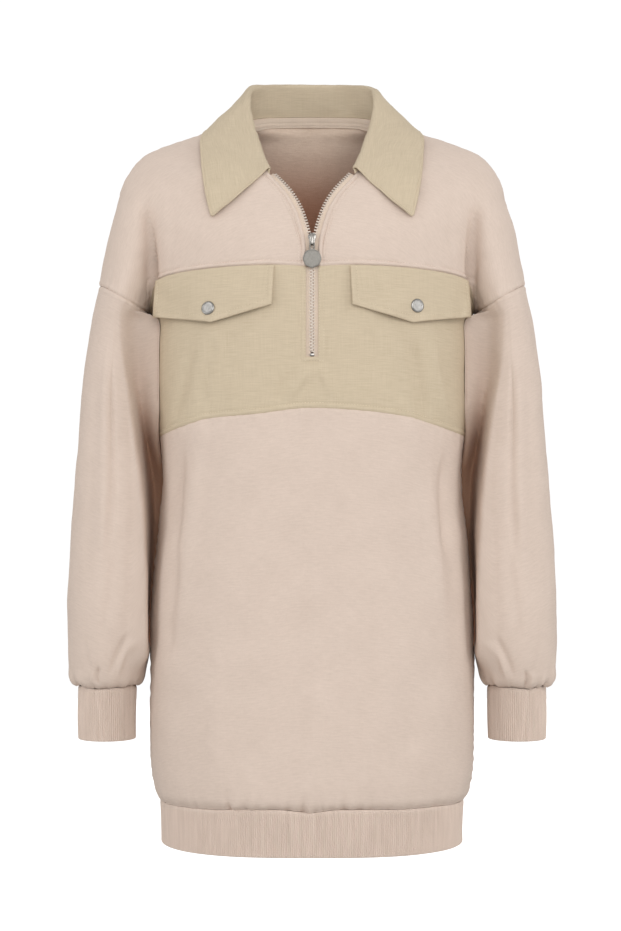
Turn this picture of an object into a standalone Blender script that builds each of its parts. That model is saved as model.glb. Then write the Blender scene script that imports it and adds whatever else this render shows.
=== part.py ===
"""Half-zip tunic top in fleece and twill, worn shape, hollow, with one moving piece: the zip pull.

Metres, +Z up.  The front faces -Y, the wearer's left is +X.  The origin is between the two
shoulder-neck points, where the wearer's shoulders carry the garment.
The body is a field over the front view (x, z): a torso and two arm caps, softly joined.  Each panel
is a grid on that field between its own seam lines, given a thickness inwards.
"""
import math
from collections import namedtuple

import bmesh
import bpy
import numpy as np
from mathutils import Matrix, Vector
from mathutils.bvhtree import BVHTree

for old in list(bpy.data.objects):
    bpy.data.objects.remove(old, do_unlink=True)

# ---------------------------------------------------------------- driving sizes
SEAM = 0.0003            # gap between two pieces that are sewn together
CORNER_GAP = 0.0007      # extra gap where a seam twists down into the underarm
FLEECE = 0.0018          # wall of the fleece panels
TWILL = 0.0014           # wall of the woven chest panel
DOUBLE_TWILL = 0.0020    # flaps: two layers of twill
COLLAR_CLOTH = 0.0022    # collar: two layers and interlining
TAPE = 0.0010            # zip and neck tapes
RIB_CLOTH = 0.0024       # folded rib of cuffs and hem band
RIB_PITCH = 0.00235      # one rib to the next
RIB_RISE = 0.00045       # crest over valley
HEM_BAND = 0.0490        # height of the hem band
CUFF_LEN = 0.0590        # length of a cuff

BASE_DEPTH = 0.120       # depth the field is worked out at, before the front and back scales
ARM_DEPTH = 0.076        # half depth of the arm cap in the field
CAP_Z, CAP_H = -0.110, 0.078   # the arm cap rounds off above this height
SOFT = 0.00060           # softness of the join of torso and arm, in square metres

ZIP_SLOT = 0.0065        # half width of the slot the zip lies in
ZIP_TOP_Z, ZIP_END_Z = -0.0565, -0.2560
CHAIN_TO_EDGE = 0.0039   # from the cloth edge to the chain
CHAIN_W, CHAIN_T = 0.00225, 0.0024

# ---------------------------------------------------------------- shape tables
# torso at each height: half width at the side, depth of front and back centre, squareness of the
# section, and how sharply the back turns over at the shoulder
Body = namedtuple("Body", "z half_width front back square ridge")
BODY = [
    Body(+0.040, 0.0785, 0.0200, 0.0830, 2.2, 0.00),
    Body(+0.011, 0.0790, 0.0200, 0.0835, 2.2, 0.00),
    Body(+0.006, 0.0920, 0.0220, 0.0845, 2.2, 0.10),
    Body(+0.000, 0.1180, 0.0260, 0.0860, 2.2, 0.25),
    Body(-0.013, 0.1580, 0.0370, 0.0885, 2.3, 0.45),
    Body(-0.0265, 0.1865, 0.0520, 0.0915, 2.4, 0.45),
    Body(-0.040, 0.2005, 0.0670, 0.0940, 2.5, 0.40),
    Body(-0.0535, 0.2090, 0.0810, 0.0965, 2.6, 0.30),
    Body(-0.067, 0.2135, 0.0910, 0.0990, 2.6, 0.22),
    Body(-0.080, 0.2140, 0.0985, 0.1010, 2.6, 0.15),
    Body(-0.100, 0.2070, 0.1080, 0.1040, 2.6, 0.08),
    Body(-0.120, 0.2005, 0.1145, 0.1065, 2.6, 0.00),
    Body(-0.140, 0.1950, 0.1170, 0.1080, 2.6, 0.00),
    Body(-0.160, 0.1905, 0.1180, 0.1090, 2.6, 0.00),
    Body(-0.180, 0.1855, 0.1190, 0.1100, 2.6, 0.00),
    Body(-0.204, 0.1795, 0.1200, 0.1105, 2.6, 0.00),
    Body(-0.220, 0.1755, 0.1205, 0.1105, 2.6, 0.00),
    Body(-0.250, 0.1730, 0.1212, 0.1100, 2.6, 0.00),
    Body(-0.295, 0.1720, 0.1220, 0.1085, 2.6, 0.00),
    Body(-0.340, 0.1685, 0.1222, 0.1060, 2.5, 0.00),
    Body(-0.384, 0.1665, 0.1220, 0.1045, 2.5, 0.00),
    Body(-0.430, 0.1705, 0.1218, 0.1050, 2.5, 0.00),
    Body(-0.470, 0.1748, 0.1220, 0.1070, 2.5, 0.00),
    Body(-0.520, 0.1788, 0.1228, 0.1105, 2.5, 0.00),
    Body(-0.567, 0.1805, 0.1240, 0.1135, 2.5, 0.00),
    Body(-0.640, 0.1808, 0.1262, 0.1165, 2.5, 0.00),
    Body(-0.690, 0.1800, 0.1280, 0.1180, 2.5, 0.00),
    Body(-0.715, 0.1785, 0.1285, 0.1180, 2.5, 0.00),
    Body(-0.730, 0.1750, 0.1265, 0.1160, 2.5, 0.00),
    Body(-0.740, 0.1705, 0.1230, 0.1125, 2.5, 0.00),
    Body(-0.760, 0.1690, 0.1215, 0.1110, 2.5, 0.00),
]

# arm cap above the armhole seam, seen from the front
Arm = namedtuple("Arm", "z inner outer")
ARM = [
    Arm(-0.040, 0.1490, 0.2100),
    Arm(-0.080, 0.1500, 0.2185),
    Arm(-0.107, 0.1535, 0.2250),
    Arm(-0.134, 0.1595, 0.2302),
    Arm(-0.161, 0.1672, 0.2350),
    Arm(-0.172, 0.1708, 0.2363),
    Arm(-0.188, 0.1765, 0.2400),
    Arm(-0.204, 0.1830, 0.2440),
    Arm(-0.220, 0.1910, 0.2480),
    Arm(-0.250, 0.2050, 0.2540),
]

# sleeve rings below the armhole seam: inner and outer edge in the front view, half depths,
# and how far the front of the ring leans outwards
Ring = namedtuple("Ring", "in_x in_z out_x out_z front back lean")
SLEEVE = [
    Ring(0.1838, -0.2085, 0.2395, -0.1850, 0.0690, 0.0690, 0.001),
    Ring(0.1836, -0.2200, 0.2435, -0.2020, 0.0690, 0.0690, 0.004),
    Ring(0.1790, -0.2420, 0.2480, -0.2290, 0.0680, 0.0680, 0.008),
    Ring(0.1755, -0.2720, 0.2525, -0.2640, 0.0665, 0.0665, 0.010),
    Ring(0.1735, -0.3080, 0.2565, -0.3040, 0.0650, 0.0650, 0.010),
    Ring(0.1708, -0.3500, 0.2602, -0.3480, 0.0635, 0.0635, 0.009),
    Ring(0.1698, -0.3960, 0.2642, -0.3950, 0.0625, 0.0625, 0.006),
    Ring(0.1742, -0.4430, 0.2678, -0.4430, 0.0615, 0.0620, 0.003),
    Ring(0.1788, -0.4900, 0.2704, -0.4900, 0.0605, 0.0610, 0.001),
    Ring(0.1816, -0.5330, 0.2717, -0.5330, 0.0590, 0.0600, 0.000),
    Ring(0.1829, -0.5680, 0.2720, -0.5680, 0.0560, 0.0575, 0.000),
    Ring(0.1850, -0.5930, 0.2708, -0.5930, 0.0515, 0.0530, 0.000),
    Ring(0.1885, -0.6080, 0.2685, -0.6080, 0.0455, 0.0465, 0.000),
    Ring(0.1925, -0.6160, 0.2640, -0.6160, 0.0385, 0.0385, 0.000),
]
ARM_SWING = 0.012        # the wrist lies this far in front of the armhole

# seams in the front view, as heights at fractions of the half width
Seam = namedtuple("Seam", "at z")
CHEST_SEAM = [Seam(-1.0, -0.3400), Seam(-0.94, -0.3365), Seam(-0.79, -0.3275), Seam(-0.66, -0.3215),
              Seam(-0.36, -0.3170), Seam(0.0, -0.3105), Seam(0.26, -0.3126), Seam(0.58, -0.3190),
              Seam(0.78, -0.3280), Seam(0.93, -0.3365), Seam(1.0, -0.3400)]
HEM_SEAM = [Seam(-1.0, -0.7430), Seam(-0.80, -0.7415), Seam(-0.62, -0.7410), Seam(-0.42, -0.7385),
            Seam(-0.22, -0.7385), Seam(0.0, -0.7415), Seam(0.16, -0.7385), Seam(0.34, -0.7385),
            Seam(0.60, -0.7400), Seam(0.80, -0.7405), Seam(1.0, -0.7430)]
# yoke seam from the zip outwards, down into the armhole crease
Mark = namedtuple("Mark", "x z")
YOKE_SEAM = [Mark(0.0065, -0.1592), Mark(0.0400, -0.1577), Mark(0.0887, -0.1590),
             Mark(0.1366, -0.1628), Mark(0.1640, -0.1675), Mark(0.1740, -0.1730),
             Mark(0.1775, -0.1850)]
# edge of the front opening, from the neckline down beside the zip
NECK_FRONT = [Mark(0.0790, 0.0110), Mark(0.0765, -0.0090), Mark(0.0695, -0.0280),
              Mark(0.0590, -0.0435), Mark(0.0460, -0.0565)]
ZIP_EDGE = [Mark(0.0460, -0.0565), Mark(0.0272, -0.0785), Mark(0.0164, -0.0985),
            Mark(0.0094, -0.1215), Mark(0.0067, -0.1370), Mark(0.0065, -0.1592)]
NECK_BACK = [Mark(0.0790, 0.0110), Mark(0.0745, 0.0180), Mark(0.0560, 0.0255),
             Mark(0.0290, 0.0290), Mark(0.0, 0.0300)]

# large soft folds: a line in the front view, its half width, height (+ ridge, - trough)
Fold = namedtuple("Fold", "side x0 z0 x1 z1 width rise")
FOLDS = [
    Fold("front", -0.108, -0.225, -0.129, -0.325, 0.013, +0.0030),
    Fold("front", -0.090, -0.240, -0.108, -0.320, 0.012, -0.0022),
    Fold("front", +0.127, -0.235, +0.156, -0.318, 0.012, +0.0030),
    Fold("front", +0.100, -0.230, +0.118, -0.312, 0.012, -0.0022),
    Fold("front", -0.128, -0.345, -0.152, -0.520, 0.014, +0.0035),
    Fold("front", -0.150, -0.390, -0.158, -0.440, 0.011, -0.0035),
    Fold("front", +0.110, -0.340, +0.140, -0.525, 0.014, +0.0035),
    Fold("front", +0.128, -0.375, +0.152, -0.480, 0.012, -0.0035),
    Fold("front", -0.018, -0.470, -0.018, -0.620, 0.018, -0.0025),
    Fold("back", -0.100, -0.230, -0.040, -0.420, 0.018, -0.0035),
    Fold("back", +0.105, -0.225, +0.050, -0.400, 0.018, -0.0035),
    Fold("back", -0.120, -0.420, -0.138, -0.620, 0.016, +0.0030),
    Fold("back", +0.115, -0.400, +0.135, -0.590, 0.016, +0.0030),
    Fold("back", +0.015, -0.480, +0.020, -0.660, 0.020, -0.0025),
]

# collar sections from the centre back to the front end.  The stand goes from the neck seam up to the
# roll, the fall goes down to the free edge.
Section = namedtuple("Section", "at roll_x roll_y roll_z edge_x edge_y edge_z bow")
COLLAR = [
    Section(0.00, 0.0000, 0.0820, 0.0655, 0.0000, 0.0930, 0.0190, 0.004),
    Section(0.14, 0.0300, 0.0765, 0.0645, 0.0365, 0.0905, 0.0180, 0.004),
    Section(0.28, 0.0560, 0.0560, 0.0600, 0.0730, 0.0745, 0.0150, 0.004),
    Section(0.40, 0.0680, 0.0300, 0.0515, 0.0990, 0.0450, 0.0100, 0.003),
    Section(0.50, 0.0690, 0.0060, 0.0385, 0.1165, 0.0060, 0.0040, 0.002),
    Section(0.62, 0.0665, -0.0180, 0.0120, 0.1235, -0.0310, -0.0130, 0.003),
    Section(0.76, 0.0600, -0.0410, -0.0130, 0.1210, -0.0660, -0.0430, 0.004),
    Section(0.89, 0.0520, -0.0635, -0.0340, 0.1150, -0.0940, -0.0800, 0.006),
    Section(1.00, 0.0450, -0.0815, -0.0490, 0.1085, -0.1040, -0.1070, 0.007),
]

# counts of the grids
SHOULDER_COLS, NECK_COLS = 10, 10
NECK_ROWS, EDGE_ROWS = 6, 7
ARM_ROWS = NECK_ROWS + EDGE_ROWS
SLOT_ROWS, UNDER_ROWS = 4, 3


# ---------------------------------------------------------------- small tools
def lerp(a, b, t):
    return a + (b - a) * t


def monotone(table, column, key="z"):
    """A smooth curve through one column of a table, with no overshoot."""
    rows = sorted(table, key=lambda r: getattr(r, key))
    xs = np.array([getattr(r, key) for r in rows])
    ys = np.array([getattr(r, column) for r in rows])
    step, slope = np.diff(xs), np.diff(ys) / np.diff(xs)
    tangent = np.zeros(len(xs))
    tangent[0], tangent[-1] = slope[0], slope[-1]
    for i in range(1, len(xs) - 1):
        if slope[i - 1] * slope[i] > 0:
            tangent[i] = 2 * slope[i - 1] * slope[i] / (slope[i - 1] + slope[i])

    def curve(x):
        x = np.clip(np.asarray(x, float), xs[0], xs[-1])
        i = np.clip(np.searchsorted(xs, x) - 1, 0, len(xs) - 2)
        t = (x - xs[i]) / step[i]
        return ((2 * t ** 3 - 3 * t ** 2 + 1) * ys[i] + (t ** 3 - 2 * t ** 2 + t) * step[i] * tangent[i]
                + (3 * t ** 2 - 2 * t ** 3) * ys[i + 1] + (t ** 3 - t ** 2) * step[i] * tangent[i + 1])
    return curve


def smooth_path(points, count):
    """A Catmull-Rom curve through points, as a dense polyline."""
    p = np.array(points, float)
    p = np.vstack([2 * p[0] - p[1], p, 2 * p[-1] - p[-2]])
    out = []
    for i in range(1, len(p) - 2):
        t = np.linspace(0, 1, count, endpoint=False)[:, None]
        out.append(0.5 * (2 * p[i] + (p[i + 1] - p[i - 1]) * t
                          + (2 * p[i - 1] - 5 * p[i] + 4 * p[i + 1] - p[i + 2]) * t ** 2
                          + (3 * p[i] - p[i - 1] - 3 * p[i + 1] + p[i + 2]) * t ** 3))
    return np.vstack(out + [p[-2:-1]])


def length_along(path):
    return np.concatenate([[0.0], np.cumsum(np.linalg.norm(np.diff(path, axis=0), axis=1))])


def at_fractions(path, fractions, measure=None):
    """Points of a polyline at fractions of its length, the length taken on another one if given."""
    s = length_along(path if measure is None else measure)
    want = np.asarray(fractions) * s[-1]
    return np.stack([np.interp(want, s, path[:, k]) for k in range(path.shape[1])], axis=1)


def unit(v):
    return v / np.maximum(np.linalg.norm(v, axis=-1, keepdims=True), 1e-12)


# ---------------------------------------------------------------- the body field
half_width = monotone(BODY, "half_width")
depth_of = {"front": monotone(BODY, "front"), "back": monotone(BODY, "back")}
square = monotone(BODY, "square")
ridge = monotone(BODY, "ridge")
arm_inner, arm_outer = monotone(ARM, "inner"), monotone(ARM, "outer")
chest_seam = monotone(CHEST_SEAM, "z", "at")
hem_seam = monotone(HEM_SEAM, "z", "at")


def field(x, z):
    """Square of the base depth, negative outside the front view's outline."""
    ax = np.abs(x)
    torso = BASE_DEPTH ** 2 * (1 - (ax / half_width(z)) ** square(z))
    inner, outer = arm_inner(z), arm_outer(z)
    mid, half = (inner + outer) / 2, (outer - inner) / 2
    cap = np.maximum(z - CAP_Z, 0) / CAP_H
    arm = ARM_DEPTH ** 2 * (1 - ((ax - mid) / half) ** 2 - cap ** 2)
    top = np.maximum(torso, arm)
    return top + SOFT * np.log(np.exp((torso - top) / SOFT) + np.exp((arm - top) / SOFT))


def fold_height(x, z, side):
    total = np.zeros(np.shape(x + z))
    for f in FOLDS:
        if f.side != side:
            continue
        dx, dz = f.x1 - f.x0, f.z1 - f.z0
        length = math.hypot(dx, dz)
        along = ((x - f.x0) * dx + (z - f.z0) * dz) / length
        across = ((x - f.x0) * dz - (z - f.z0) * dx) / length
        past = np.maximum(np.maximum(-along, along - length), 0)
        total = total + f.rise * np.exp(-(across / f.width) ** 2 - (past / (1.6 * f.width)) ** 2)
    return total


def depth(x, z, side):
    """How far the panel lies in front of (or behind) the plane of the side seams."""
    base = np.sqrt(np.maximum(field(x, z), 0))
    d = base * depth_of[side](z) / BASE_DEPTH
    if side == "back":
        d = d * np.maximum(base / BASE_DEPTH, 1e-9) ** ridge(z)
    fade = np.clip(d / 0.045, 0, 1)
    return d + fold_height(x, z, side) * fade * fade * (3 - 2 * fade)


def on_body(xz, side):
    """3-D points of an array of (x, z)."""
    x, z = xz[..., 0], xz[..., 1]
    y = depth(x, z, side) * (-1 if side == "front" else 1)
    return np.stack([x, y, z], axis=-1)


def body_normal(xz, side):
    """Outward normals, from the gradient of depth squared."""
    x, z = xz[..., 0], xz[..., 1]
    e = 2e-4
    square_of = lambda a, b: np.where(field(a, b) > 0, depth(a, b, side) ** 2, field(a, b))
    gx = (square_of(x + e, z) - square_of(x - e, z)) / (2 * e)
    gz = (square_of(x, z + e) - square_of(x, z - e)) / (2 * e)
    y = depth(x, z, side) * (-1 if side == "front" else 1)
    y = np.where(np.abs(y) < 1e-4, 1e-4 * (-1 if side == "front" else 1), y)
    return unit(np.stack([-gx, 2 * y, -gz], axis=-1))


def root(inside, outside, z):
    """x between inside and outside where the field is zero, at heights z."""
    lo, hi = np.broadcast_to(inside, z.shape).copy(), np.broadcast_to(outside, z.shape).copy()
    for _ in range(48):
        mid = (lo + hi) / 2
        good = field(mid, z) > 0
        lo, hi = np.where(good, mid, lo), np.where(good, hi, mid)
    return (lo + hi) / 2


def find_underarm():
    """The highest point of the gap between torso and arm: where side seam and armhole meet."""
    xs = np.linspace(0.174, 0.190, 161)
    hi, lo = np.full(xs.shape, -0.185), np.full(xs.shape, -0.235)
    for _ in range(48):
        mid = (lo + hi) / 2
        good = field(xs, mid) > 0
        hi, lo = np.where(good, mid, hi), np.where(good, lo, mid)
    k = int(np.argmax(hi))
    return float(xs[k]), float(hi[k])


UNDER_X, UNDER_Z = find_underarm()


def side_x(z):
    """Half width of the torso's outline below the underarm."""
    z = np.asarray(z, float)
    limit = np.where(z > -0.25, UNDER_X, np.maximum(UNDER_X, half_width(z) + 0.015))
    x = root(0.150, limit, z)
    return np.where(z >= UNDER_Z, UNDER_X, x)


def outer_x(z):
    """Half width of the outline from the neck point down to the armhole seam."""
    z = np.asarray(z, float)
    start = np.where(z < -0.07, (arm_inner(z) + arm_outer(z)) / 2, half_width(z) * 0.85)
    return root(start, 0.275, z)


DROP_Z = -0.172
DROP_X = float(outer_x(np.array([DROP_Z]))[0])

# ---------------------------------------------------------------- seam lines in the front view
shoulder_z = np.concatenate([np.linspace(0.011, -0.05, 140, endpoint=False), np.linspace(-0.05, DROP_Z, 80)])
shoulder_xz = np.stack([outer_x(shoulder_z), shoulder_z], axis=1)
SHOULDER = at_fractions(shoulder_xz, np.linspace(0, 1, SHOULDER_COLS + 1))
SHOULDER[0] = (0.0790, 0.0110)

turn = np.linspace(0, math.pi, ARM_ROWS + 1)
ARMHOLE = np.stack([(DROP_X + UNDER_X) / 2 + (DROP_X - UNDER_X) / 2 * np.cos(turn),
                    (DROP_Z + UNDER_Z) / 2 + (DROP_Z - UNDER_Z) / 2 * np.cos(turn)], axis=1)


def spaced(marks, count, side, fractions=None):
    """Marks in the front view joined by a smooth curve and spaced by length on the body."""
    path = smooth_path([(m.x, m.z) for m in marks], 24)
    fractions = np.linspace(0, 1, count + 1) if fractions is None else fractions
    return at_fractions(path, fractions, on_body(path, side))


NECK_EDGE = np.vstack([spaced(NECK_FRONT, NECK_ROWS, "front"), spaced(ZIP_EDGE, EDGE_ROWS, "front")[1:]])
yoke_path = smooth_path([(m.x, m.z) for m in YOKE_SEAM] + [(UNDER_X, UNDER_Z)], 24)
yoke_len = length_along(on_body(yoke_path, "front"))
first, second = np.interp([0.0235, 0.0400], yoke_path[:, 0], yoke_len) / yoke_len[-1]
YOKE_FRACTIONS = np.concatenate([[0.0, first], np.linspace(second, 1.0, SHOULDER_COLS - 1)])
YOKE_LINE = at_fractions(yoke_path, YOKE_FRACTIONS, on_body(yoke_path, "front"))


def patch(top, bottom, left, right, u, near_edge):
    """A grid of (x, z) between four edge lines.  u is the weight along; rows crowd at the top, and at
    both ends next to an armhole, where near_edge is 1."""
    steps = np.linspace(0, 1, len(left))
    top_only, both = 1 - np.cos(math.pi / 2 * steps), (1 - np.cos(math.pi * steps)) / 2
    grid = np.zeros((len(left), len(top), 2))
    for i in range(len(left)):
        for j in range(len(top)):
            a, b = lerp(top_only[i], both[i], near_edge[j]), u[j]
            grid[i, j] = (lerp(top[j], bottom[j], a) + lerp(left[i], right[i], b)
                          - lerp(lerp(top[0], top[-1], b), lerp(bottom[0], bottom[-1], b), a))
    return grid


# ---------------------------------------------------------------- walls from grids
def make_object(name, mesh_bm, material):
    if mesh_bm.calc_volume(signed=True) < 0:
        bmesh.ops.reverse_faces(mesh_bm, faces=mesh_bm.faces)
    mesh = bpy.data.meshes.new(name)
    mesh_bm.to_mesh(mesh)
    mesh_bm.free()
    mesh.shade_smooth()
    mesh.set_sharp_from_angle(angle=math.radians(38))
    mesh.materials.append(material)
    ob = bpy.data.objects.new(name, mesh)
    bpy.context.scene.collection.objects.link(ob)
    return ob


def cloth_wall(name, outer, normal, thickness, material, closed=False, skip=None):
    """A wall between a grid of outer points and the same grid moved in along its normals."""
    rows, cols = outer.shape[:2]
    inner = outer - normal * thickness
    bm = bmesh.new()
    vert = {}

    def corner(layer, i, j):
        key = (layer, i, j % cols if closed else j)
        if key not in vert:
            source = outer if layer == 0 else inner
            vert[key] = bm.verts.new(source[key[1], key[2]])
        return vert[key]

    used = [(i, j) for i in range(rows - 1) for j in range(cols if closed else cols - 1)
            if not (skip and skip(i, j))]
    i, j = used[len(used) // 2]
    a, b, d = outer[i, j], outer[i, (j + 1) % cols], outer[i + 1, j]
    flip = np.dot(np.cross(d - a, b - a), normal[i, j]) < 0
    edges = {}
    for i, j in used:
        ring = [(i, j), (i + 1, j), (i + 1, j + 1), (i, j + 1)]
        if flip:
            ring.reverse()
        bm.faces.new([corner(0, *c) for c in ring])
        bm.faces.new([corner(1, *c) for c in reversed(ring)])
        for k in range(4):
            p, q = ring[k], ring[(k + 1) % 4]
            if closed:
                p, q = (p[0], p[1] % cols), (q[0], q[1] % cols)
            if (q, p) in edges:
                del edges[(q, p)]
            else:
                edges[(p, q)] = True
    for p, q in edges:
        bm.faces.new([corner(0, *q), corner(0, *p), corner(1, *p), corner(1, *q)])
    return make_object(name, bm, material)


def flatten_edge(normal, edge_xz, index):
    """Normals along an edge that lies in the plane y = 0, square to that edge in the front view."""
    run = np.gradient(edge_xz, axis=0)
    n = unit(np.stack([-run[:, 1], np.zeros(len(run)), run[:, 0]], axis=1))
    keep = np.sign(np.sum(n * normal[index], axis=1, keepdims=True))
    normal[index] = n * np.where(keep == 0, 1, keep)


def pull_in(grid, index, neighbour, amount=SEAM / 2):
    """Moves an edge row or column of a grid back towards its neighbour by half a seam gap."""
    grid[index] += unit(grid[neighbour] - grid[index]) * amount


def mirrored(a):
    return a * np.array([-1.0, 1.0, 1.0])


def smoothstep(t):
    t = np.clip(t, 0, 1)
    return t * t * (3 - 2 * t)


# ---------------------------------------------------------------- materials
Look = namedtuple("Look", "name colour rough metal")
LOOKS = [Look("fleece", (0.700, 0.590, 0.500), 0.92, 0.0), Look("twill", (0.620, 0.520, 0.370), 0.85, 0.0),
         Look("rib_knit", (0.640, 0.530, 0.450), 0.92, 0.0), Look("zip_tape", (0.640, 0.540, 0.430), 0.85, 0.0),
         Look("neck_tape", (0.580, 0.470, 0.370), 0.88, 0.0), Look("nickel", (0.560, 0.550, 0.530), 0.30, 1.0),
         Look("satin_metal", (0.480, 0.470, 0.450), 0.42, 1.0), Look("zip_metal", (0.600, 0.570, 0.530), 0.35, 1.0)]
MATERIAL = {}
for look in LOOKS:
    m = bpy.data.materials.new(look.name)
    m.use_nodes = True
    shader = m.node_tree.nodes["Principled BSDF"]
    shader.inputs["Base Color"].default_value = (*look.colour, 1.0)
    shader.inputs["Roughness"].default_value = look.rough
    shader.inputs["Metallic"].default_value = look.metal
    MATERIAL[look.name] = m

# ---------------------------------------------------------------- front yokes
along = np.linspace(0, 1, SHOULDER_COLS + 1)
yoke_xz = patch(SHOULDER, YOKE_LINE, NECK_EDGE, ARMHOLE, along, along ** 4)
yoke = on_body(yoke_xz, "front")
yoke_n = body_normal(yoke_xz, "front")
yoke[0, :, 1] = 0
yoke[-1, -1, 1] = 0
flatten_edge(yoke_n, SHOULDER, (0, slice(None)))
yoke_n[-1, -1] = (0, 0, -1)
yoke_edge, yoke_edge_n, yoke_second = yoke[:, 0].copy(), yoke_n[:, 0].copy(), yoke[:, 1].copy()
cut = yoke.copy()
cut[0, :, 1] = -SEAM / 2
pull_in(cut, (-1, slice(None)), (-2, slice(None)))
pull_in(cut, (-1, slice(-3, -1)), (-2, slice(-3, -1)), CORNER_GAP)
pull_in(cut, (slice(None), -1), (slice(None), -2))
cut[0, -1, 1] = -SEAM / 2
cut[-1, -1] = yoke[-1, -1] + np.array((-0.0004, -0.0009, 0.0006))
cloth_wall("front_yoke_left", cut, yoke_n, FLEECE, MATERIAL["fleece"])
cloth_wall("front_yoke_right", mirrored(cut), mirrored(yoke_n), FLEECE, MATERIAL["fleece"])

# ---------------------------------------------------------------- chest panel with the zip slot
drop_z = np.concatenate([np.linspace(0, 1, SLOT_ROWS + 1) * (ZIP_END_Z - YOKE_LINE[0, 1]),
                         np.linspace(0, 1, UNDER_ROWS + 1)[1:] * (chest_seam(0.0) - ZIP_END_Z)
                         + ZIP_END_Z - YOKE_LINE[0, 1]])
rows_v = drop_z / drop_z[-1]
top_fraction = (YOKE_LINE[:, 0] - ZIP_SLOT) / (UNDER_X - ZIP_SLOT)
chest_side = side_x(np.array([lerp(UNDER_Z, -0.340, v) for v in rows_v]))
low_x = side_x(np.array([-0.340]))[0]
low_path = np.stack([np.linspace(ZIP_SLOT, low_x, 400), np.zeros(400)], axis=1)
low_path[:, 1] = chest_seam(low_path[:, 0] / low_x)
bottom_xz = at_fractions(low_path, YOKE_FRACTIONS, on_body(low_path, "front"))
bottom_fraction = (bottom_xz[:, 0] - ZIP_SLOT) / (low_x - ZIP_SLOT)


def half_chest(sign):
    """Half of the chest panel on the side of sign, columns from the slot outwards."""
    grid = np.zeros((len(rows_v), len(YOKE_LINE), 2))
    for i, v in enumerate(rows_v):
        share = lerp(top_fraction, bottom_fraction, v)
        grid[i, :, 0] = (ZIP_SLOT + (chest_side[i] - ZIP_SLOT) * share) * sign
        low = chest_seam(sign * bottom_xz[:, 0] / low_x)
        grid[i, :, 1] = lerp(YOKE_LINE[:, 1], low, v)
    return grid


chest_xz = np.concatenate([half_chest(-1)[:, ::-1], half_chest(1)], axis=1)
chest_cols = chest_xz.shape[1]
slot_col = chest_cols // 2 - 1
chest_xz[:SLOT_ROWS + 1, slot_col, 1] = chest_xz[:SLOT_ROWS + 1, slot_col + 1, 1] = \
    YOKE_LINE[0, 1] + drop_z[:SLOT_ROWS + 1]
chest = on_body(chest_xz, "front")
chest_n = body_normal(chest_xz, "front")
for col, sign in ((0, -1), (-1, 1)):
    chest[:, col, 1] = 0
    flatten_edge(chest_n, chest_xz[:, col], (slice(None), col))
    chest_n[0, col] = unit(np.array((sign * 0.35, 0.0, -0.94)))
panel = chest.copy()
pull_in(panel, (0, slice(None)), (1, slice(None)))
for cols in (slice(1, 3), slice(-3, -1)):
    pull_in(panel, (0, cols), (1, cols), CORNER_GAP)
pull_in(panel, (-1, slice(None)), (-2, slice(None)))
panel[:, 0, 1] = panel[:, -1, 1] = -SEAM / 2
for col, sign in ((0, -1), (-1, 1)):
    panel[0, col] = chest[0, col] + np.array((-sign * 0.0006, -SEAM / 2, -0.0008))
cloth_wall("chest_panel", panel, chest_n, TWILL, MATERIAL["twill"],
           skip=lambda i, j: j == slot_col and i < SLOT_ROWS)

# ---------------------------------------------------------------- front lower body
LOWER_ROWS = [0.0, 0.11, 0.23, 0.36, 0.50, 0.64, 0.78, 0.885, 0.945, 0.975, 1.0]
lower_fraction = np.concatenate([-(bottom_xz[::-1, 0]), bottom_xz[:, 0]]) / low_x
end_z = np.array([lerp(-0.340, hem_seam(1.0), v) for v in LOWER_ROWS])
end_x = side_x(end_z)
lower_xz = np.zeros((len(LOWER_ROWS), len(lower_fraction), 2))
for i, v in enumerate(LOWER_ROWS):
    lower_xz[i, :, 0] = end_x[i] * lower_fraction
    lower_xz[i, :, 1] = lerp(chest_seam(lower_fraction), hem_seam(lower_fraction), v)
lower = on_body(lower_xz, "front")
lower_n = body_normal(lower_xz, "front")
lower[:, 0, 1] = lower[:, -1, 1] = 0
for col in (0, -1):
    flatten_edge(lower_n, lower_xz[:, col], (slice(None), col))
panel = lower.copy()
pull_in(panel, (0, slice(None)), (1, slice(None)))
pull_in(panel, (-1, slice(None)), (-2, slice(None)))
panel[:, 0, 1] = panel[:, -1, 1] = -SEAM / 2
cloth_wall("front_lower", panel, lower_n, FLEECE, MATERIAL["fleece"])

# ---------------------------------------------------------------- back
neck_half = spaced(NECK_BACK, NECK_COLS // 2, "back")
top_line = np.vstack([SHOULDER[::-1] * (-1, 1), (neck_half * (-1, 1))[1:-1], neck_half[::-1], SHOULDER[1:]])
back_cols = len(top_line)
base_path = np.stack([np.linspace(0, UNDER_X, 300), np.full(300, UNDER_Z)], axis=1)
inner_share = 0.30
share = np.concatenate([np.linspace(0, inner_share, NECK_COLS // 2 + 1),
                        np.linspace(inner_share, 1, SHOULDER_COLS + 1)[1:]])
base_half = at_fractions(base_path, share, on_body(base_path, "back"))
base_line = np.vstack([base_half[:0:-1] * (-1, 1), base_half])
back_u = (base_line[:, 0] / UNDER_X + 1) / 2
upper_xz = patch(top_line, base_line, ARMHOLE * (-1, 1), ARMHOLE, back_u, np.abs(2 * back_u - 1) ** 4)
BACK_ROWS = [0.10, 0.22, 0.35, 0.49, 0.63, 0.77, 0.885, 0.945, 0.975, 1.0]
back_hem = -0.7430
back_lower = np.zeros((len(BACK_ROWS), back_cols, 2))
for i, v in enumerate(BACK_ROWS):
    z = lerp(UNDER_Z, back_hem, v)
    back_lower[i, :, 0] = side_x(np.array([z]))[0] * base_line[:, 0] / UNDER_X
    back_lower[i, :, 1] = z
back_xz = np.concatenate([upper_xz, back_lower], axis=0)
back = on_body(back_xz, "back")
back_n = body_normal(back_xz, "back")
soft_n = back_n.copy()
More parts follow.
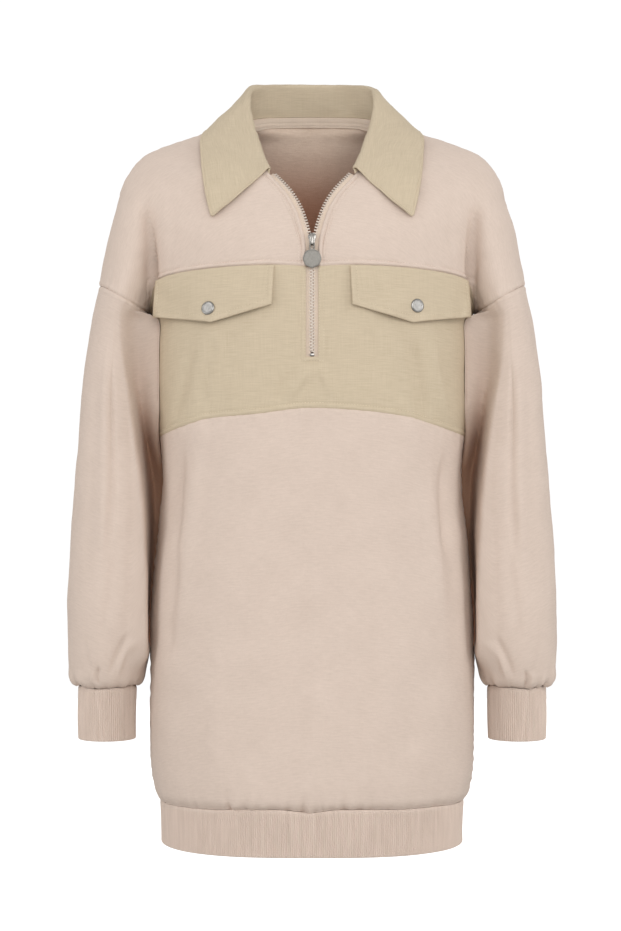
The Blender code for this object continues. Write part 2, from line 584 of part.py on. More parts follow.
soft_n[1:-1, 1:-1] += 0.6 * (back_n[:-2, 1:-1] + back_n[2:, 1:-1] + back_n[1:-1, :-2] + back_n[1:-1, 2:])
back_n[1:ARM_ROWS + 1] = unit(soft_n[1:ARM_ROWS + 1])      # the wall keeps its thickness in the arm's crease
neck_from, neck_to = SHOULDER_COLS, back_cols - 1 - SHOULDER_COLS
back[0, :neck_from + 1, 1] = back[0, neck_to:, 1] = 0
back[ARM_ROWS:, 0, 1] = back[ARM_ROWS:, -1, 1] = 0
flatten_edge(back_n, SHOULDER[::-1] * (-1, 1), (0, slice(0, neck_from + 1)))
flatten_edge(back_n, SHOULDER, (0, slice(neck_to, back_cols)))
for col, sign in ((0, -1), (-1, 1)):
    flatten_edge(back_n, back_xz[ARM_ROWS:, col], (slice(ARM_ROWS, None), col))
    back_n[ARM_ROWS, col] = (0, 0, -1)
panel = back.copy()
pull_in(panel, (-1, slice(None)), (-2, slice(None)))
for col, near in ((0, 1), (-1, -2)):
    pull_in(panel, (slice(1, ARM_ROWS), col), (slice(1, ARM_ROWS), near))
panel[0, :neck_from + 1, 1] = panel[0, neck_to:, 1] = SEAM / 2
panel[ARM_ROWS:, 0, 1] = panel[ARM_ROWS:, -1, 1] = SEAM / 2
for col, sign in ((0, -1), (-1, 1)):
    panel[ARM_ROWS, col] = back[ARM_ROWS, col] + np.array((-sign * 0.0005, 0.0009, 0.0003))
cloth_wall("back", panel, back_n, FLEECE, MATERIAL["fleece"])

# ---------------------------------------------------------------- sleeves
TURN_COUNT = 2 * ARM_ROWS
ring_turn = np.concatenate([turn, turn[1:-1] + math.pi])   # outer, front, inner, back
cos_t = np.cos(ring_turn)
front_side = ring_turn <= math.pi
hole_xz = np.stack([(DROP_X + UNDER_X) / 2 + (DROP_X - UNDER_X) / 2 * cos_t,
                    (DROP_Z + UNDER_Z) / 2 + (DROP_Z - UNDER_Z) / 2 * cos_t], axis=1)
hole = np.where(front_side[:, None], on_body(hole_xz, "front"), on_body(hole_xz, "back"))
hole_n = np.where(front_side[:, None], body_normal(hole_xz, "front"), body_normal(hole_xz, "back"))
for k, n in ((0, unit(np.array((0.97, 0.0, 0.24)))), (ARM_ROWS, np.array((0.0, 0.0, -1.0)))):
    hole[k, 1] = 0
    hole_n[k] = n
down = unit(np.array((UNDER_Z - DROP_Z, 0.0, -(UNDER_X - DROP_X)))) * -1
if down[2] > 0:
    down = -down


def sleeve_ring(r, swing):
    """One ring of the sleeve, seen from above an oval that may lean outwards in front."""
    s = np.sin(ring_turn)
    y = -np.where(s > 0, r.front, r.back) * s
    x = (r.in_x + r.out_x) / 2 + (r.out_x - r.in_x) / 2 * cos_t
    inner = np.clip(-cos_t, 0, 1) ** 0.5
    x = x + r.lean * np.clip(s, 0, 1) * (0.35 + inner)
    z = (r.in_z + r.out_z) / 2 + (r.out_z - r.in_z) / 2 * cos_t
    return np.stack([x, y - swing, z], axis=1)


rings = [hole + down * (SEAM * 0.9)]
rings[0][ARM_ROWS] = hole[ARM_ROWS] + np.array((0.0007, 0.0, -0.0007))
first_gap = SLEEVE[0]
for k, r in enumerate(SLEEVE):
    t = smoothstep((-0.20 - r.in_z) / 0.41)
    ring = sleeve_ring(r, ARM_SWING * t)
    if k < 2:                                   # the first rings keep the armhole's own depths
        keep = 0.75 if k == 0 else 0.30
        ring[:, 1] = lerp(ring[:, 1], hole[:, 1], keep)
    rings.append(ring)
sleeve = np.stack(rings)


def ring_normals(grid):
    """Outward normals of a closed grid from its own neighbours."""
    across = np.roll(grid, -1, axis=1) - np.roll(grid, 1, axis=1)
    along_ = np.gradient(grid, axis=0)
    n = unit(np.cross(across, along_))
    centre = grid.mean(axis=1, keepdims=True)
    if np.sum(n * (grid - centre)) < 0:
        n = -n
    return n


sleeve_n = ring_normals(sleeve)
sleeve_n[0] = unit(hole_n * 0.8 + sleeve_n[0] * 0.2)
cloth_wall("sleeve_left", sleeve, sleeve_n, FLEECE, MATERIAL["fleece"], closed=True)
cloth_wall("sleeve_right", mirrored(sleeve), mirrored(sleeve_n), FLEECE, MATERIAL["fleece"], closed=True)


# ---------------------------------------------------------------- rib bands
def rib_band(name, levels, per_inner, ribs, mirror=False):
    """A band of knit ribs: levels are dense closed rings from top to bottom, the inside is plain."""
    count = 2 * ribs
    plain = count // per_inner
    outer, inner = [], []
    for ring in levels:
        loop = np.vstack([ring, ring[:1]])
        pts = at_fractions(loop, np.arange(count) / count)
        tangent = np.roll(pts, -3, axis=0) - np.roll(pts, 3, axis=0)
        out = unit(np.cross(tangent, (0, 0, 1.0)))
        if np.sum(out * (pts - pts.mean(axis=0))) < 0:
            out = -out
        wave = np.where(np.arange(count) % 2 == 0, 0.0, -RIB_RISE)[:, None]
        outer.append(pts + out * wave)
        inner.append((pts - out * RIB_CLOTH)[::per_inner])
    if mirror:
        outer, inner = [mirrored(o) for o in outer], [mirrored(o) for o in inner]
    bm = bmesh.new()
    ov = [[bm.verts.new(p) for p in ring] for ring in outer]
    iv = [[bm.verts.new(p) for p in ring] for ring in inner]
    faces = []
    for i in range(len(levels) - 1):
        for j in range(count):
            k = (j + 1) % count
            faces.append((ov[i][j], ov[i + 1][j], ov[i + 1][k], ov[i][k]))
        for j in range(plain):
            k = (j + 1) % plain
            faces.append((iv[i][k], iv[i + 1][k], iv[i + 1][j], iv[i][j]))
    for top, o, n in ((True, ov[0], iv[0]), (False, ov[-1], iv[-1])):
        for j in range(plain):
            a, b, half = n[j], n[(j + 1) % plain], per_inner // 2
            run = [o[(j * per_inner + q) % count] for q in range(per_inner + 1)]
            fan = [(a, run[q], run[q + 1]) for q in range(half)]
            fan += [(a, run[half], b)] + [(b, run[q], run[q + 1]) for q in range(half, per_inner)]
            faces += fan if top else [tuple(reversed(f)) for f in fan]
    for f in faces:
        bm.faces.new(f)
    bmesh.ops.recalc_face_normals(bm, faces=bm.faces)
    return make_object(name, bm, MATERIAL["rib_knit"])


dense = np.linspace(0, 2 * math.pi, 720, endpoint=False)


def oval(cx, cy, half_x, front, back_, z, power=2.0):
    """A closed ring, squarer as power grows."""
    c, s = np.cos(dense), np.sin(dense)
    x = cx + half_x * np.sign(c) * np.abs(c) ** (2 / power)
    y = cy - np.where(s > 0, front, back_) * np.sign(s) * np.abs(s) ** (2 / power)
    return np.stack([x, y, np.broadcast_to(z, x.shape)], axis=1)


cuff_mid = (0.1945 + 0.2605) / 2
CUFF_RIBS = 88
cuff_levels = [oval(cuff_mid, -ARM_SWING, 0.0335, 0.0365, 0.0365, -0.6163),
               oval(0.2278, -ARM_SWING, 0.0324, 0.0350, 0.0350, -0.6300),
               oval(0.2280, -ARM_SWING, 0.0320, 0.0345, 0.0345, -0.6163 - CUFF_LEN)]
rib_band("cuff_left", cuff_levels, 8, CUFF_RIBS)
rib_band("cuff_right", cuff_levels, 8, CUFF_RIBS, mirror=True)

# the hem band follows the bottom edges of front and back
hem_front = lower[-1][:, [0, 1, 2]]
hem_back = back[-1][::-1]
hem_loop = np.vstack([hem_front[1:], hem_back[1:]])


def hem_ring(drop, grow):
    """The body's bottom edge as a dense ring, moved down and in or out."""
    loop = np.vstack([hem_loop, hem_loop[:1]])
    pts = at_fractions(loop, np.arange(3000) / 3000)
    middle = np.array((0.0, (hem_loop[:, 1].max() + hem_loop[:, 1].min()) / 2, 0.0))
    flat = pts - middle
    flat[:, 2] = 0
    pts = pts + unit(flat) * grow
    return pts


hem_top = hem_ring(0, 0.0)
hem_top[:, 2] -= SEAM + RIB_RISE * 0.5
hem_low = hem_ring(0, -0.0018)
hem_low[:, 2] = -0.7430 - HEM_BAND + 0.002
HEM_RIBS = int(round(length_along(hem_top)[-1] / RIB_PITCH / 8)) * 8
rib_band("hem_band", [hem_top, hem_low], 8, HEM_RIBS)

# ---------------------------------------------------------------- collar
neck_path = np.vstack([np.array(neck_half)[::-1], NECK_EDGE[1:NECK_ROWS + 1]])
neck_3d = np.vstack([on_body(neck_half[::-1], "back")[:-1],
                     [(0.0790, 0.0, 0.0110)], on_body(NECK_EDGE[1:NECK_ROWS + 1], "front")])
back_part = NECK_COLS // 2
at_s = np.concatenate([np.linspace(0, 0.5, back_part + 1), np.linspace(0.5, 1, NECK_ROWS + 1)[1:]])
col = {k: monotone(COLLAR, k, "at") for k in Section._fields[1:]}


def collar_section(s, seam):
    """Points of one section: neck seam, stand, roll, fall, free edge."""
    rollp = np.array([col["roll_x"](s), col["roll_y"](s), col["roll_z"](s)])
    edge = np.array([col["edge_x"](s), col["edge_y"](s), col["edge_z"](s)])
    out = edge - rollp
    out[2] = 0
    out = unit(out)
    up = np.array((0.0, 0.0, 1.0))
    tall = np.linalg.norm(rollp - seam)
    turn_r = min(0.0034, 0.30 * tall + 0.0008)
    base = seam + np.array((0.0, 0.0, SEAM + 0.0002))
    ahead, behind = min(s + 0.01, 1.0), max(s - 0.01, 0.0)
    roll_run = unit(np.array([col[k](ahead) - col[k](behind) for k in ("roll_x", "roll_y", "roll_z")]))
    side = unit(out - roll_run * np.dot(out, roll_run))
    crown = np.cross(side, roll_run)
    crown *= 1 if crown[2] > 0 else -1
    fall = edge - (rollp + side * 2 * turn_r)
    bow = out * float(col["bow"](s)) + up * float(col["bow"](s)) * 0.6
    top = rollp
    pts = [base, lerp(base, top, 0.5) + out * 0.0006, top]
    for a in (40, 90, 140):
        r = math.radians(a)
        pts.append(top + side * turn_r * (1 - math.cos(r)) + crown * turn_r * math.sin(r))
    start = top + side * 2 * turn_r
    for f in (0.10, 0.38, 0.70, 1.0):
        pts.append(start + fall * f + bow * math.sin(math.pi * f))
    return np.array(pts)


half_sections = [collar_section(s, p) for s, p in zip(at_s, neck_3d)]
collar_half = np.stack(half_sections, axis=1)            # rows across the cloth, columns along the neck
collar = np.concatenate([mirrored(collar_half[:, :0:-1]), collar_half], axis=1)


def grid_normals(grid):
    n = unit(np.cross(np.gradient(grid, axis=1), np.gradient(grid, axis=0)))
    return n


collar_n = grid_normals(collar)
if collar_n[1, collar.shape[1] // 2, 1] > 0:             # the stand's outer face looks into the fall
    collar_n = -collar_n
cloth_wall("collar", collar + collar_n * COLLAR_CLOTH * 0.5, collar_n, COLLAR_CLOTH, MATERIAL["twill"])

# ---------------------------------------------------------------- neck tape inside the back neck
TAPE_STEPS = [0.0006, 0.0040, 0.0075, 0.0110]     # down from the neck seam
tape_grid, tape_n = [], []
for step in TAPE_STEPS:
    line, normals = [], []
    for j in range(neck_from + 3, neck_to - 2):
        run = length_along(back[:6, j])
        line.append([np.interp(step, run, back[:6, j, k]) for k in range(3)])
        normals.append([np.interp(step, run, back_n[:6, j, k]) for k in range(3)])
    tape_grid.append(line)
    tape_n.append(normals)
tape_grid, tape_n = np.array(tape_grid), unit(np.array(tape_n))
cloth_wall("neck_tape", tape_grid - tape_n * (FLEECE + 0.0010), tape_n, TAPE, MATERIAL["neck_tape"])

# ---------------------------------------------------------------- zip tapes and chain rows
first_row = NECK_ROWS
zip_edge = np.vstack([yoke_edge[first_row:], chest[1:SLOT_ROWS + 1, slot_col + 1]])
zip_in = np.vstack([yoke_second[first_row:], chest[1:SLOT_ROWS + 1, slot_col + 2]])
zip_n = np.vstack([yoke_edge_n[first_row:], chest_n[1:SLOT_ROWS + 1, slot_col + 1]])
zip_dir = unit(zip_in - zip_edge)
zip_run = unit(np.gradient(zip_edge, axis=0))
zip_across = unit(np.cross(zip_run, zip_n))
zip_across *= np.sign(np.sum(zip_across * zip_dir, axis=1, keepdims=True))
tape_deep = FLEECE + 0.0006
end_drop = np.array((0.0, 0.0, -0.0060))


def zip_strip(name, from_edge, to_edge, deep, thick, material, mirror, hidden=0.0, tail=True):
    """A strip along the zip edge, from one distance past the edge to another under the panel."""
    rows = []
    for k in range(len(zip_edge)):
        line = []
        for d in (from_edge, (from_edge + to_edge) / 2 if hidden else None, to_edge):
            if d is None:
                continue
            way = zip_dir[k] if d > 0 else zip_across[k]
            line.append(zip_edge[k] + way * d - zip_n[k] * deep)
        rows.append(line)
    if tail:
        rows.append([p + end_drop for p in rows[-1]])
    else:
        rows[-1] = [p + np.array((0.0, 0.0, 0.0042)) for p in rows[-1]]
    grid = np.array(rows)
    normals = np.repeat(zip_n[:, None], grid.shape[1], axis=1)
    if tail:
        normals = np.concatenate([normals, normals[-1:]])
    if mirror:
        grid, normals = mirrored(grid), mirrored(normals)
    return cloth_wall(name, grid, normals, thick, MATERIAL[material])


for tag, mirror in (("left", False), ("right", True)):
    zip_strip(f"zip_tape_{tag}", -CHAIN_TO_EDGE, 0.0065, tape_deep, TAPE, "zip_tape", mirror)
    chain_top = tape_deep + TAPE / 2 - CHAIN_T / 2
    zip_strip(f"zip_chain_{tag}", -CHAIN_TO_EDGE - 0.0003 - CHAIN_W, -CHAIN_TO_EDGE - 0.0003,
              chain_top, CHAIN_T, "zip_metal", mirror, tail=False)


# ---------------------------------------------------------------- hard pieces
def box(bm, x0, x1, y0, y1, z0, z1):
    made = bmesh.ops.create_cube(bm, size=1.0)
    for v in made["verts"]:
        v.co = Vector((lerp(x0, x1, v.co.x + 0.5), lerp(y0, y1, v.co.y + 0.5), lerp(z0, z1, v.co.z + 0.5)))
    return made["verts"]


def extruded(bm, outline, y0, y1):
    """A flat outline in (x, z) extruded from y0 to y1."""
    ring = [bm.verts.new((x, y0, z)) for x, z in outline]
    face = bm.faces.new(ring)
    made = bmesh.ops.extrude_face_region(bm, geom=[face])
    for v in made["geom"]:
        if isinstance(v, bmesh.types.BMVert):
            v.co.y = y1
    bmesh.ops.recalc_face_normals(bm, faces=bm.faces)


def surface_y(x, z):
    return -float(depth(np.array([x]), np.array([z]), "front")[0])


SLIDER_Z = -0.1300
slope = (surface_y(0, -0.136) - surface_y(0, -0.124)) / (-0.012)
TILT = -math.atan(slope)
slider_home = Vector((0.0, surface_y(0, SLIDER_Z), SLIDER_Z))
# in the slider's own frame y is the height off the cloth (negative outwards) and z runs up the zip
plate_low = -(chain_top) + 0.0003      # over the chain
PLATE = 0.0012
chain_low = chain_top + CHAIN_T + 0.0003
LENGTH = 0.0128
outline = [(-0.0032, -LENGTH / 2), (0.0032, -LENGTH / 2), (0.0038, -0.0020), (0.0045, 0.0020),
           (0.0045, LENGTH / 2 - 0.0012), (0.0030, LENGTH / 2), (-0.0030, LENGTH / 2),
           (-0.0045, LENGTH / 2 - 0.0012), (-0.0045, 0.0020), (-0.0038, -0.0020)]


def hidden_tool(name, bm):
    ob = make_object(name, bm, MATERIAL["zip_metal"])
    ob.hide_render = True
    ob.display_type = "WIRE"
    return ob


front_plate_in = chain_top - 0.0003    # depth under the cloth of the plate's inner face
front_plate_out = front_plate_in - PLATE
bm = bmesh.new()
extruded(bm, outline, front_plate_in, front_plate_out)
slider = make_object("zip_slider", bm, MATERIAL["zip_metal"])
bm = bmesh.new()
extruded(bm, outline, chain_low, chain_low + 0.0010)
back_plate = hidden_tool("tool_back_plate", bm)
bm = bmesh.new()
box(bm, -0.0010, 0.0010, front_plate_in - 0.0004, chain_low + 0.0004, LENGTH / 2 - 0.0032, LENGTH / 2 - 0.0006)
post = hidden_tool("tool_post", bm)
AXIS_OUT, AXIS_UP = -0.0031, -0.0054   # crossbar of the pull in the slider's frame
BRIDGE_W, BRIDGE_T = 0.0008, 0.0010
bridge_out = AXIS_OUT - 0.0020
bm = bmesh.new()
bridge_profile = [(front_plate_out + 0.0004, 0.0040), (bridge_out + 0.0012, 0.0040), (bridge_out, 0.0028),
                  (bridge_out, -0.0066), (bridge_out + 0.0010, -0.0076), (front_plate_out + 0.0004, -0.0076),
                  (front_plate_out + 0.0004, -0.0066), (bridge_out + 0.0013, -0.0066),
                  (bridge_out + 0.0010, -0.0063), (bridge_out + 0.0010, 0.0024),
                  (bridge_out + 0.0016, 0.0030), (front_plate_out + 0.0004, 0.0030)]
ring = [bm.verts.new((-BRIDGE_W, y, z)) for y, z in bridge_profile]
face = bm.faces.new(ring)
made = bmesh.ops.extrude_face_region(bm, geom=[face])
for v in made["geom"]:
    if isinstance(v, bmesh.types.BMVert):
        v.co.x = BRIDGE_W
bmesh.ops.recalc_face_normals(bm, faces=bm.faces)
bridge = hidden_tool("tool_bridge", bm)
for tool in (back_plate, post, bridge):
    tool.location = slider_home
    tool.rotation_euler = (TILT, 0, 0)
    mod = slider.modifiers.new(tool.name, "BOOLEAN")
    mod.operation = "UNION"
    mod.solver = "EXACT"
    mod.object = tool
slider.location = slider_home
slider.rotation_euler = (TILT, 0, 0)

# bottom stop over the last teeth
stop_z = ZIP_END_Z + 0.0020
bm = bmesh.new()
stop_y = surface_y(0, stop_z)
box(bm, -0.0024, 0.0024, stop_y + tape_deep - 0.0012, stop_y + tape_deep - 0.0003, stop_z - 0.0012, stop_z + 0.0012)
make_object("zip_stop", bm, MATERIAL["zip_metal"])

# pull: crossbar, two side arms and a rounded eight-sided tab, its origin on the crossbar's axis
frame = Matrix.Translation(slider_home) @ Matrix.Rotation(TILT, 4, "X")
AXIS = frame @ Vector((0.0, AXIS_OUT, AXIS_UP))
PULL_T = 0.0016
WINDOW_W, ARM_W, WINDOW_DOWN, CROSSBAR_R = 0.00125, 0.0012, -0.0066, 0.0008
TAB_MID, TAB_HALF = -0.0163, 0.0100
tab = []
for k in range(8):
    a = math.radians(22.5 + 45 * k)
    r = TAB_HALF / math.cos(math.radians(22.5))
    corner = Vector((r * math.cos(a), r * math.sin(a) * 1.02))
    before = Vector((r * math.cos(a - math.radians(45)), r * math.sin(a - math.radians(45)) * 1.02))
    after = Vector((r * math.cos(a + math.radians(45)), r * math.sin(a + math.radians(45)) * 1.02))
    for toward in (before, after):
        p = corner.lerp(toward, 0.22)
        tab.append((p.x, p.y + TAB_MID))
    mid = corner.lerp(before, 0.08).lerp(corner.lerp(after, 0.08), 0.5)
    tab.insert(-1, (mid.x, mid.y + TAB_MID))
bm = bmesh.new()
extruded(bm, tab, -PULL_T / 2, PULL_T / 2)
pull = make_object("zip_pull", bm, MATERIAL["satin_metal"])
bm = bmesh.new()
w = WINDOW_W + ARM_W
loop_outline = [(-w, 0.0), (w, 0.0), (w + 0.0010, -0.0085), (-w - 0.0010, -0.0085)]
extruded(bm, loop_outline, -PULL_T / 2 + 0.0001, PULL_T / 2 - 0.0001)
loop = hidden_tool("tool_pull_loop", bm)
bm = bmesh.new()
box(bm, -WINDOW_W, WINDOW_W, -0.003, 0.003, WINDOW_DOWN, 0.0010)
window = hidden_tool("tool_pull_window", bm)
bm = bmesh.new()
bmesh.ops.create_cone(bm, cap_ends=True, segments=16, radius1=CROSSBAR_R, radius2=CROSSBAR_R,
                      depth=2 * w - 0.0002, matrix=Matrix.Rotation(math.radians(90), 4, "Y"))
crossbar = hidden_tool("tool_pull_crossbar", bm)
for tool, operation in ((loop, "UNION"), (window, "DIFFERENCE"), (crossbar, "UNION")):
    tool.location = AXIS
    mod = pull.modifiers.new(tool.name, "BOOLEAN")
    mod.operation = operation
    mod.solver = "EXACT"
    mod.object = tool
pull.location = AXIS

# ---------------------------------------------------------------- pocket flaps and snap caps
FLAP_END = 0.1745                                   # outer edge of a flap
FLAP_LOW = [Mark(0.040, -0.1995), Mark(0.1085, -0.2190), Mark(0.176, -0.2100)]
LIFT = [0.0004, 0.0012, 0.0024, 0.0036]             # stand-off from the panel, top to bottom
cols_out = [k for k in range(2, len(YOKE_LINE)) if YOKE_LINE[k, 0] < FLAP_END + 0.002]


def flap(name, sign):
    base, normals = (chest, chest_n)
    pts, ns = [], []
    for share_, lift in zip((0.0, 0.33, 0.67, 1.0), LIFT):
        line, nline = [], []
        for k in cols_out:
            j = slot_col + 1 + k if sign > 0 else slot_col - k
            column, cn = base[:, j], normals[:, j]
            low = np.interp(abs(column[0, 0]), [m.x for m in FLAP_LOW], [m.z for m in FLAP_LOW])
            z = lerp(column[0, 2] - 0.0006, low, share_)
            p = np.array([np.interp(-z, -column[:, 2], column[:, a]) for a in range(3)])
            n = unit(np.array([np.interp(-z, -column[:, 2], cn[:, a]) for a in range(3)]))
            line.append(p + n * (lift + DOUBLE_TWILL))
            nline.append(n)
        pts.append(line)
        ns.append(nline)
    pts, ns = np.array(pts), np.array(ns)
    cloth_wall(name, pts, ns, DOUBLE_TWILL, MATERIAL["twill"])
    return pts


Turned = namedtuple("Turned", "radius height")
CAP = [Turned(0.0074, 0.0000), Turned(0.0076, 0.0006), Turned(0.0071, 0.0013), Turned(0.0056, 0.0019),
       Turned(0.0028, 0.0023)]
CAP_SIDES = 20


def snap_cap(name, pts, x, z):
    """A turned cap that just clears the flap's outer faces at (x, z) of the front view."""
    cols_ = pts.shape[1]
    quads = [(i * cols_ + j, i * cols_ + j + 1, (i + 1) * cols_ + j + 1, (i + 1) * cols_ + j)
             for i in range(len(pts) - 1) for j in range(cols_ - 1)]
    tris = [t for q in quads for t in ((q[0], q[1], q[2]), (q[0], q[2], q[3]), (q[0], q[1], q[3]))]
    face = BVHTree.FromPolygons([Vector(p) for p in pts.reshape(-1, 3)], tris)
    hits = [face.ray_cast(Vector((x + dx, -1.0, z + dz)), Vector((0, 1, 0)))[0]
            for dx, dz in ((0, 0), (0.006, 0), (-0.006, 0), (0, 0.006), (0, -0.006))]
    normal = (hits[1] - hits[2]).cross(hits[3] - hits[4]).normalized()
    normal *= -1 if normal.y > 0 else 1
    turned = normal.to_track_quat("Z", "Y")
    high = -1.0
    for ring_r in (0.0, 0.004, CAP[1].radius):
        for k in range(12):
            out_ = turned @ Vector((ring_r * math.cos(k * math.pi / 6), ring_r * math.sin(k * math.pi / 6), 0))
            hit = face.ray_cast(hits[0] + out_ + normal * 0.05, -normal)[0]
            if hit:
                high = max(high, (hit - hits[0]).dot(normal))
    bm = bmesh.new()
    rings_ = []
    for c in CAP:
        rings_.append([bm.verts.new((c.radius * math.cos(2 * math.pi * k / CAP_SIDES),
                                     c.radius * math.sin(2 * math.pi * k / CAP_SIDES), c.height))
                       for k in range(CAP_SIDES)])
    for a, b in zip(rings_, rings_[1:]):
        for k in range(CAP_SIDES):
            bm.faces.new((a[k], a[(k + 1) % CAP_SIDES], b[(k + 1) % CAP_SIDES], b[k]))
    bm.faces.new(list(reversed(rings_[0])))
    bm.faces.new(rings_[-1])
    ob = make_object(name, bm, MATERIAL["nickel"])
    ob.rotation_euler = turned.to_euler()
    ob.location = hits[0] + normal * (high + SEAM)
    return ob


flap_l = flap("flap_left", +1)
flap_r = flap("flap_right", -1)
snap_cap("snap_cap_left", flap_l, 0.1125, -0.2010)
snap_cap("snap_cap_right", flap_r, -0.1110, -0.2030)
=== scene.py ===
import math
from collections import namedtuple

import bmesh
import bpy
import numpy as np
from mathutils import Matrix, Vector


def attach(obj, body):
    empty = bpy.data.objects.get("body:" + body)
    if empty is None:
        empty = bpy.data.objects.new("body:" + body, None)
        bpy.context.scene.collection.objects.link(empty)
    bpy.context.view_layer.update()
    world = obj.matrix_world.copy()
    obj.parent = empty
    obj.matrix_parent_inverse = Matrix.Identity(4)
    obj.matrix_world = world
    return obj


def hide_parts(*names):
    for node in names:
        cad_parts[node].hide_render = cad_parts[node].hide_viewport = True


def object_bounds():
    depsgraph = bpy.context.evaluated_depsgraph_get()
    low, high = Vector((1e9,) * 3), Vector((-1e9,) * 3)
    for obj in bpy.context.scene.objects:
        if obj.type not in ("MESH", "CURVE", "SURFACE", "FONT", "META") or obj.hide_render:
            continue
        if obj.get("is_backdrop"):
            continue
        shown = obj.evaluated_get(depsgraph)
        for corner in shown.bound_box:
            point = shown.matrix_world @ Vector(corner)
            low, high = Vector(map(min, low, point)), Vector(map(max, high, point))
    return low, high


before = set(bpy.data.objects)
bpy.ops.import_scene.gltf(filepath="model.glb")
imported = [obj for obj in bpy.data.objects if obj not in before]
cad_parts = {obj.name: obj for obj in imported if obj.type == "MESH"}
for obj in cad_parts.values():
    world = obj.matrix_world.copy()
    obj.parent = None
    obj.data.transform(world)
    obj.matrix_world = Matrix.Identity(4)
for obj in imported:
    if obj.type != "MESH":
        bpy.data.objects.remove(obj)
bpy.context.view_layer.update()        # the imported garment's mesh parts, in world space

SIDES = (("left", 1), ("right", -1))


def table(columns, *rows):
    """A short table: rows with named columns."""
    Row = namedtuple("Row", columns)
    return [Row(*row) for row in rows]


# ---------------------------------------------------------------- driving sizes
SEAM = 0.0003            # gap between two pieces that are sewn together
FLEECE = 0.0018          # wall of the fleece panels
TWILL = 0.0014           # wall of the woven chest panel
DOUBLE_TWILL = 0.0020    # flaps: two layers of twill
COLLAR_CLOTH = 0.0022    # collar: two layers and interlining
TAPE = 0.0010            # zip and neck tapes
RIB_CLOTH = 0.0024       # folded rib of cuffs and hem band
RIB_PITCH = 0.00235      # one rib to the next
HEM_BAND = 0.0490        # height of the hem band
CUFF_LEN = 0.0590        # length of a cuff

BASE_DEPTH = 0.120       # depth the field is worked out at, before the front and back scales
ARM_DEPTH = 0.076        # half depth of the arm cap in the field
CAP_Z, CAP_H = -0.110, 0.078   # the arm cap rounds off above this height
SOFT = 0.00060           # softness of the join of torso and arm, in square metres

ZIP_SLOT = 0.0065        # half width of the slot the zip lies in
ZIP_END_Z = -0.2560
CHAIN_TO_EDGE = 0.0039   # from the cloth edge to the chain
CHAIN_W, CHAIN_T = 0.00225, 0.0024

# ---------------------------------------------------------------- shape tables
# torso at each height: half width at the side, depth of front and back centre, squareness of the
# section, and how sharply the back turns over at the shoulder
BODY = table("z half_width front back square ridge",
    (0.040, 0.0785, 0.0200, 0.0830, 2.2, 0.00),
    (0.011, 0.0790, 0.0200, 0.0835, 2.2, 0.00),
    (0.006, 0.0920, 0.0220, 0.0845, 2.2, 0.10),
    (0.000, 0.1180, 0.0260, 0.0860, 2.2, 0.25),
    (-0.013, 0.1580, 0.0370, 0.0885, 2.3, 0.45),
    (-0.0265, 0.1865, 0.0520, 0.0915, 2.4, 0.45),
    (-0.040, 0.2005, 0.0670, 0.0940, 2.5, 0.40),
    (-0.0535, 0.2090, 0.0810, 0.0965, 2.6, 0.30),
    (-0.067, 0.2135, 0.0910, 0.0990, 2.6, 0.22),
    (-0.080, 0.2140, 0.0985, 0.1010, 2.6, 0.15),
    (-0.100, 0.2070, 0.1080, 0.1040, 2.6, 0.08),
    (-0.120, 0.2005, 0.1145, 0.1065, 2.6, 0.00),
    (-0.140, 0.1950, 0.1170, 0.1080, 2.6, 0.00),
    (-0.160, 0.1905, 0.1180, 0.1090, 2.65, 0.00),
    (-0.180, 0.1855, 0.1190, 0.1100, 2.7, 0.00),
    (-0.204, 0.1795, 0.1200, 0.1105, 2.75, 0.00),
    (-0.220, 0.1755, 0.1205, 0.1105, 2.95, 0.00),
    (-0.250, 0.1748, 0.1212, 0.1100, 3.1, 0.00),
    (-0.295, 0.1738, 0.1220, 0.1085, 3.15, 0.00),
    (-0.340, 0.1700, 0.1222, 0.1060, 3.1, 0.00),
    (-0.384, 0.1665, 0.1220, 0.1045, 3, 0.00),
    (-0.430, 0.1705, 0.1218, 0.1050, 2.9, 0.00),
    (-0.470, 0.1748, 0.1220, 0.1070, 2.85, 0.00),
    (-0.520, 0.1788, 0.1228, 0.1105, 2.85, 0.00),
    (-0.567, 0.1805, 0.1240, 0.1135, 2.85, 0.00),
    (-0.640, 0.1808, 0.1262, 0.1165, 2.85, 0.00),
    (-0.690, 0.1800, 0.1280, 0.1180, 2.85, 0.00),
    (-0.715, 0.1785, 0.1285, 0.1180, 2.85, 0.00),
    (-0.730, 0.1750, 0.1265, 0.1160, 2.85, 0.00),
    (-0.740, 0.1705, 0.1230, 0.1125, 2.85, 0.00),
    (-0.760, 0.1690, 0.1215, 0.1110, 2.85, 0.00))

# arm cap above the armhole seam, seen from the front
ARM = table("z inner outer",
    (-0.040, 0.1490, 0.2100),
    (-0.080, 0.1500, 0.2185),
    (-0.107, 0.1535, 0.2250),
    (-0.134, 0.1595, 0.2302),
    (-0.161, 0.1672, 0.2350),
    (-0.172, 0.1708, 0.2363),
    (-0.188, 0.1765, 0.2400),
    (-0.204, 0.1830, 0.2440),
    (-0.220, 0.1910, 0.2480),
    (-0.250, 0.2050, 0.2540))

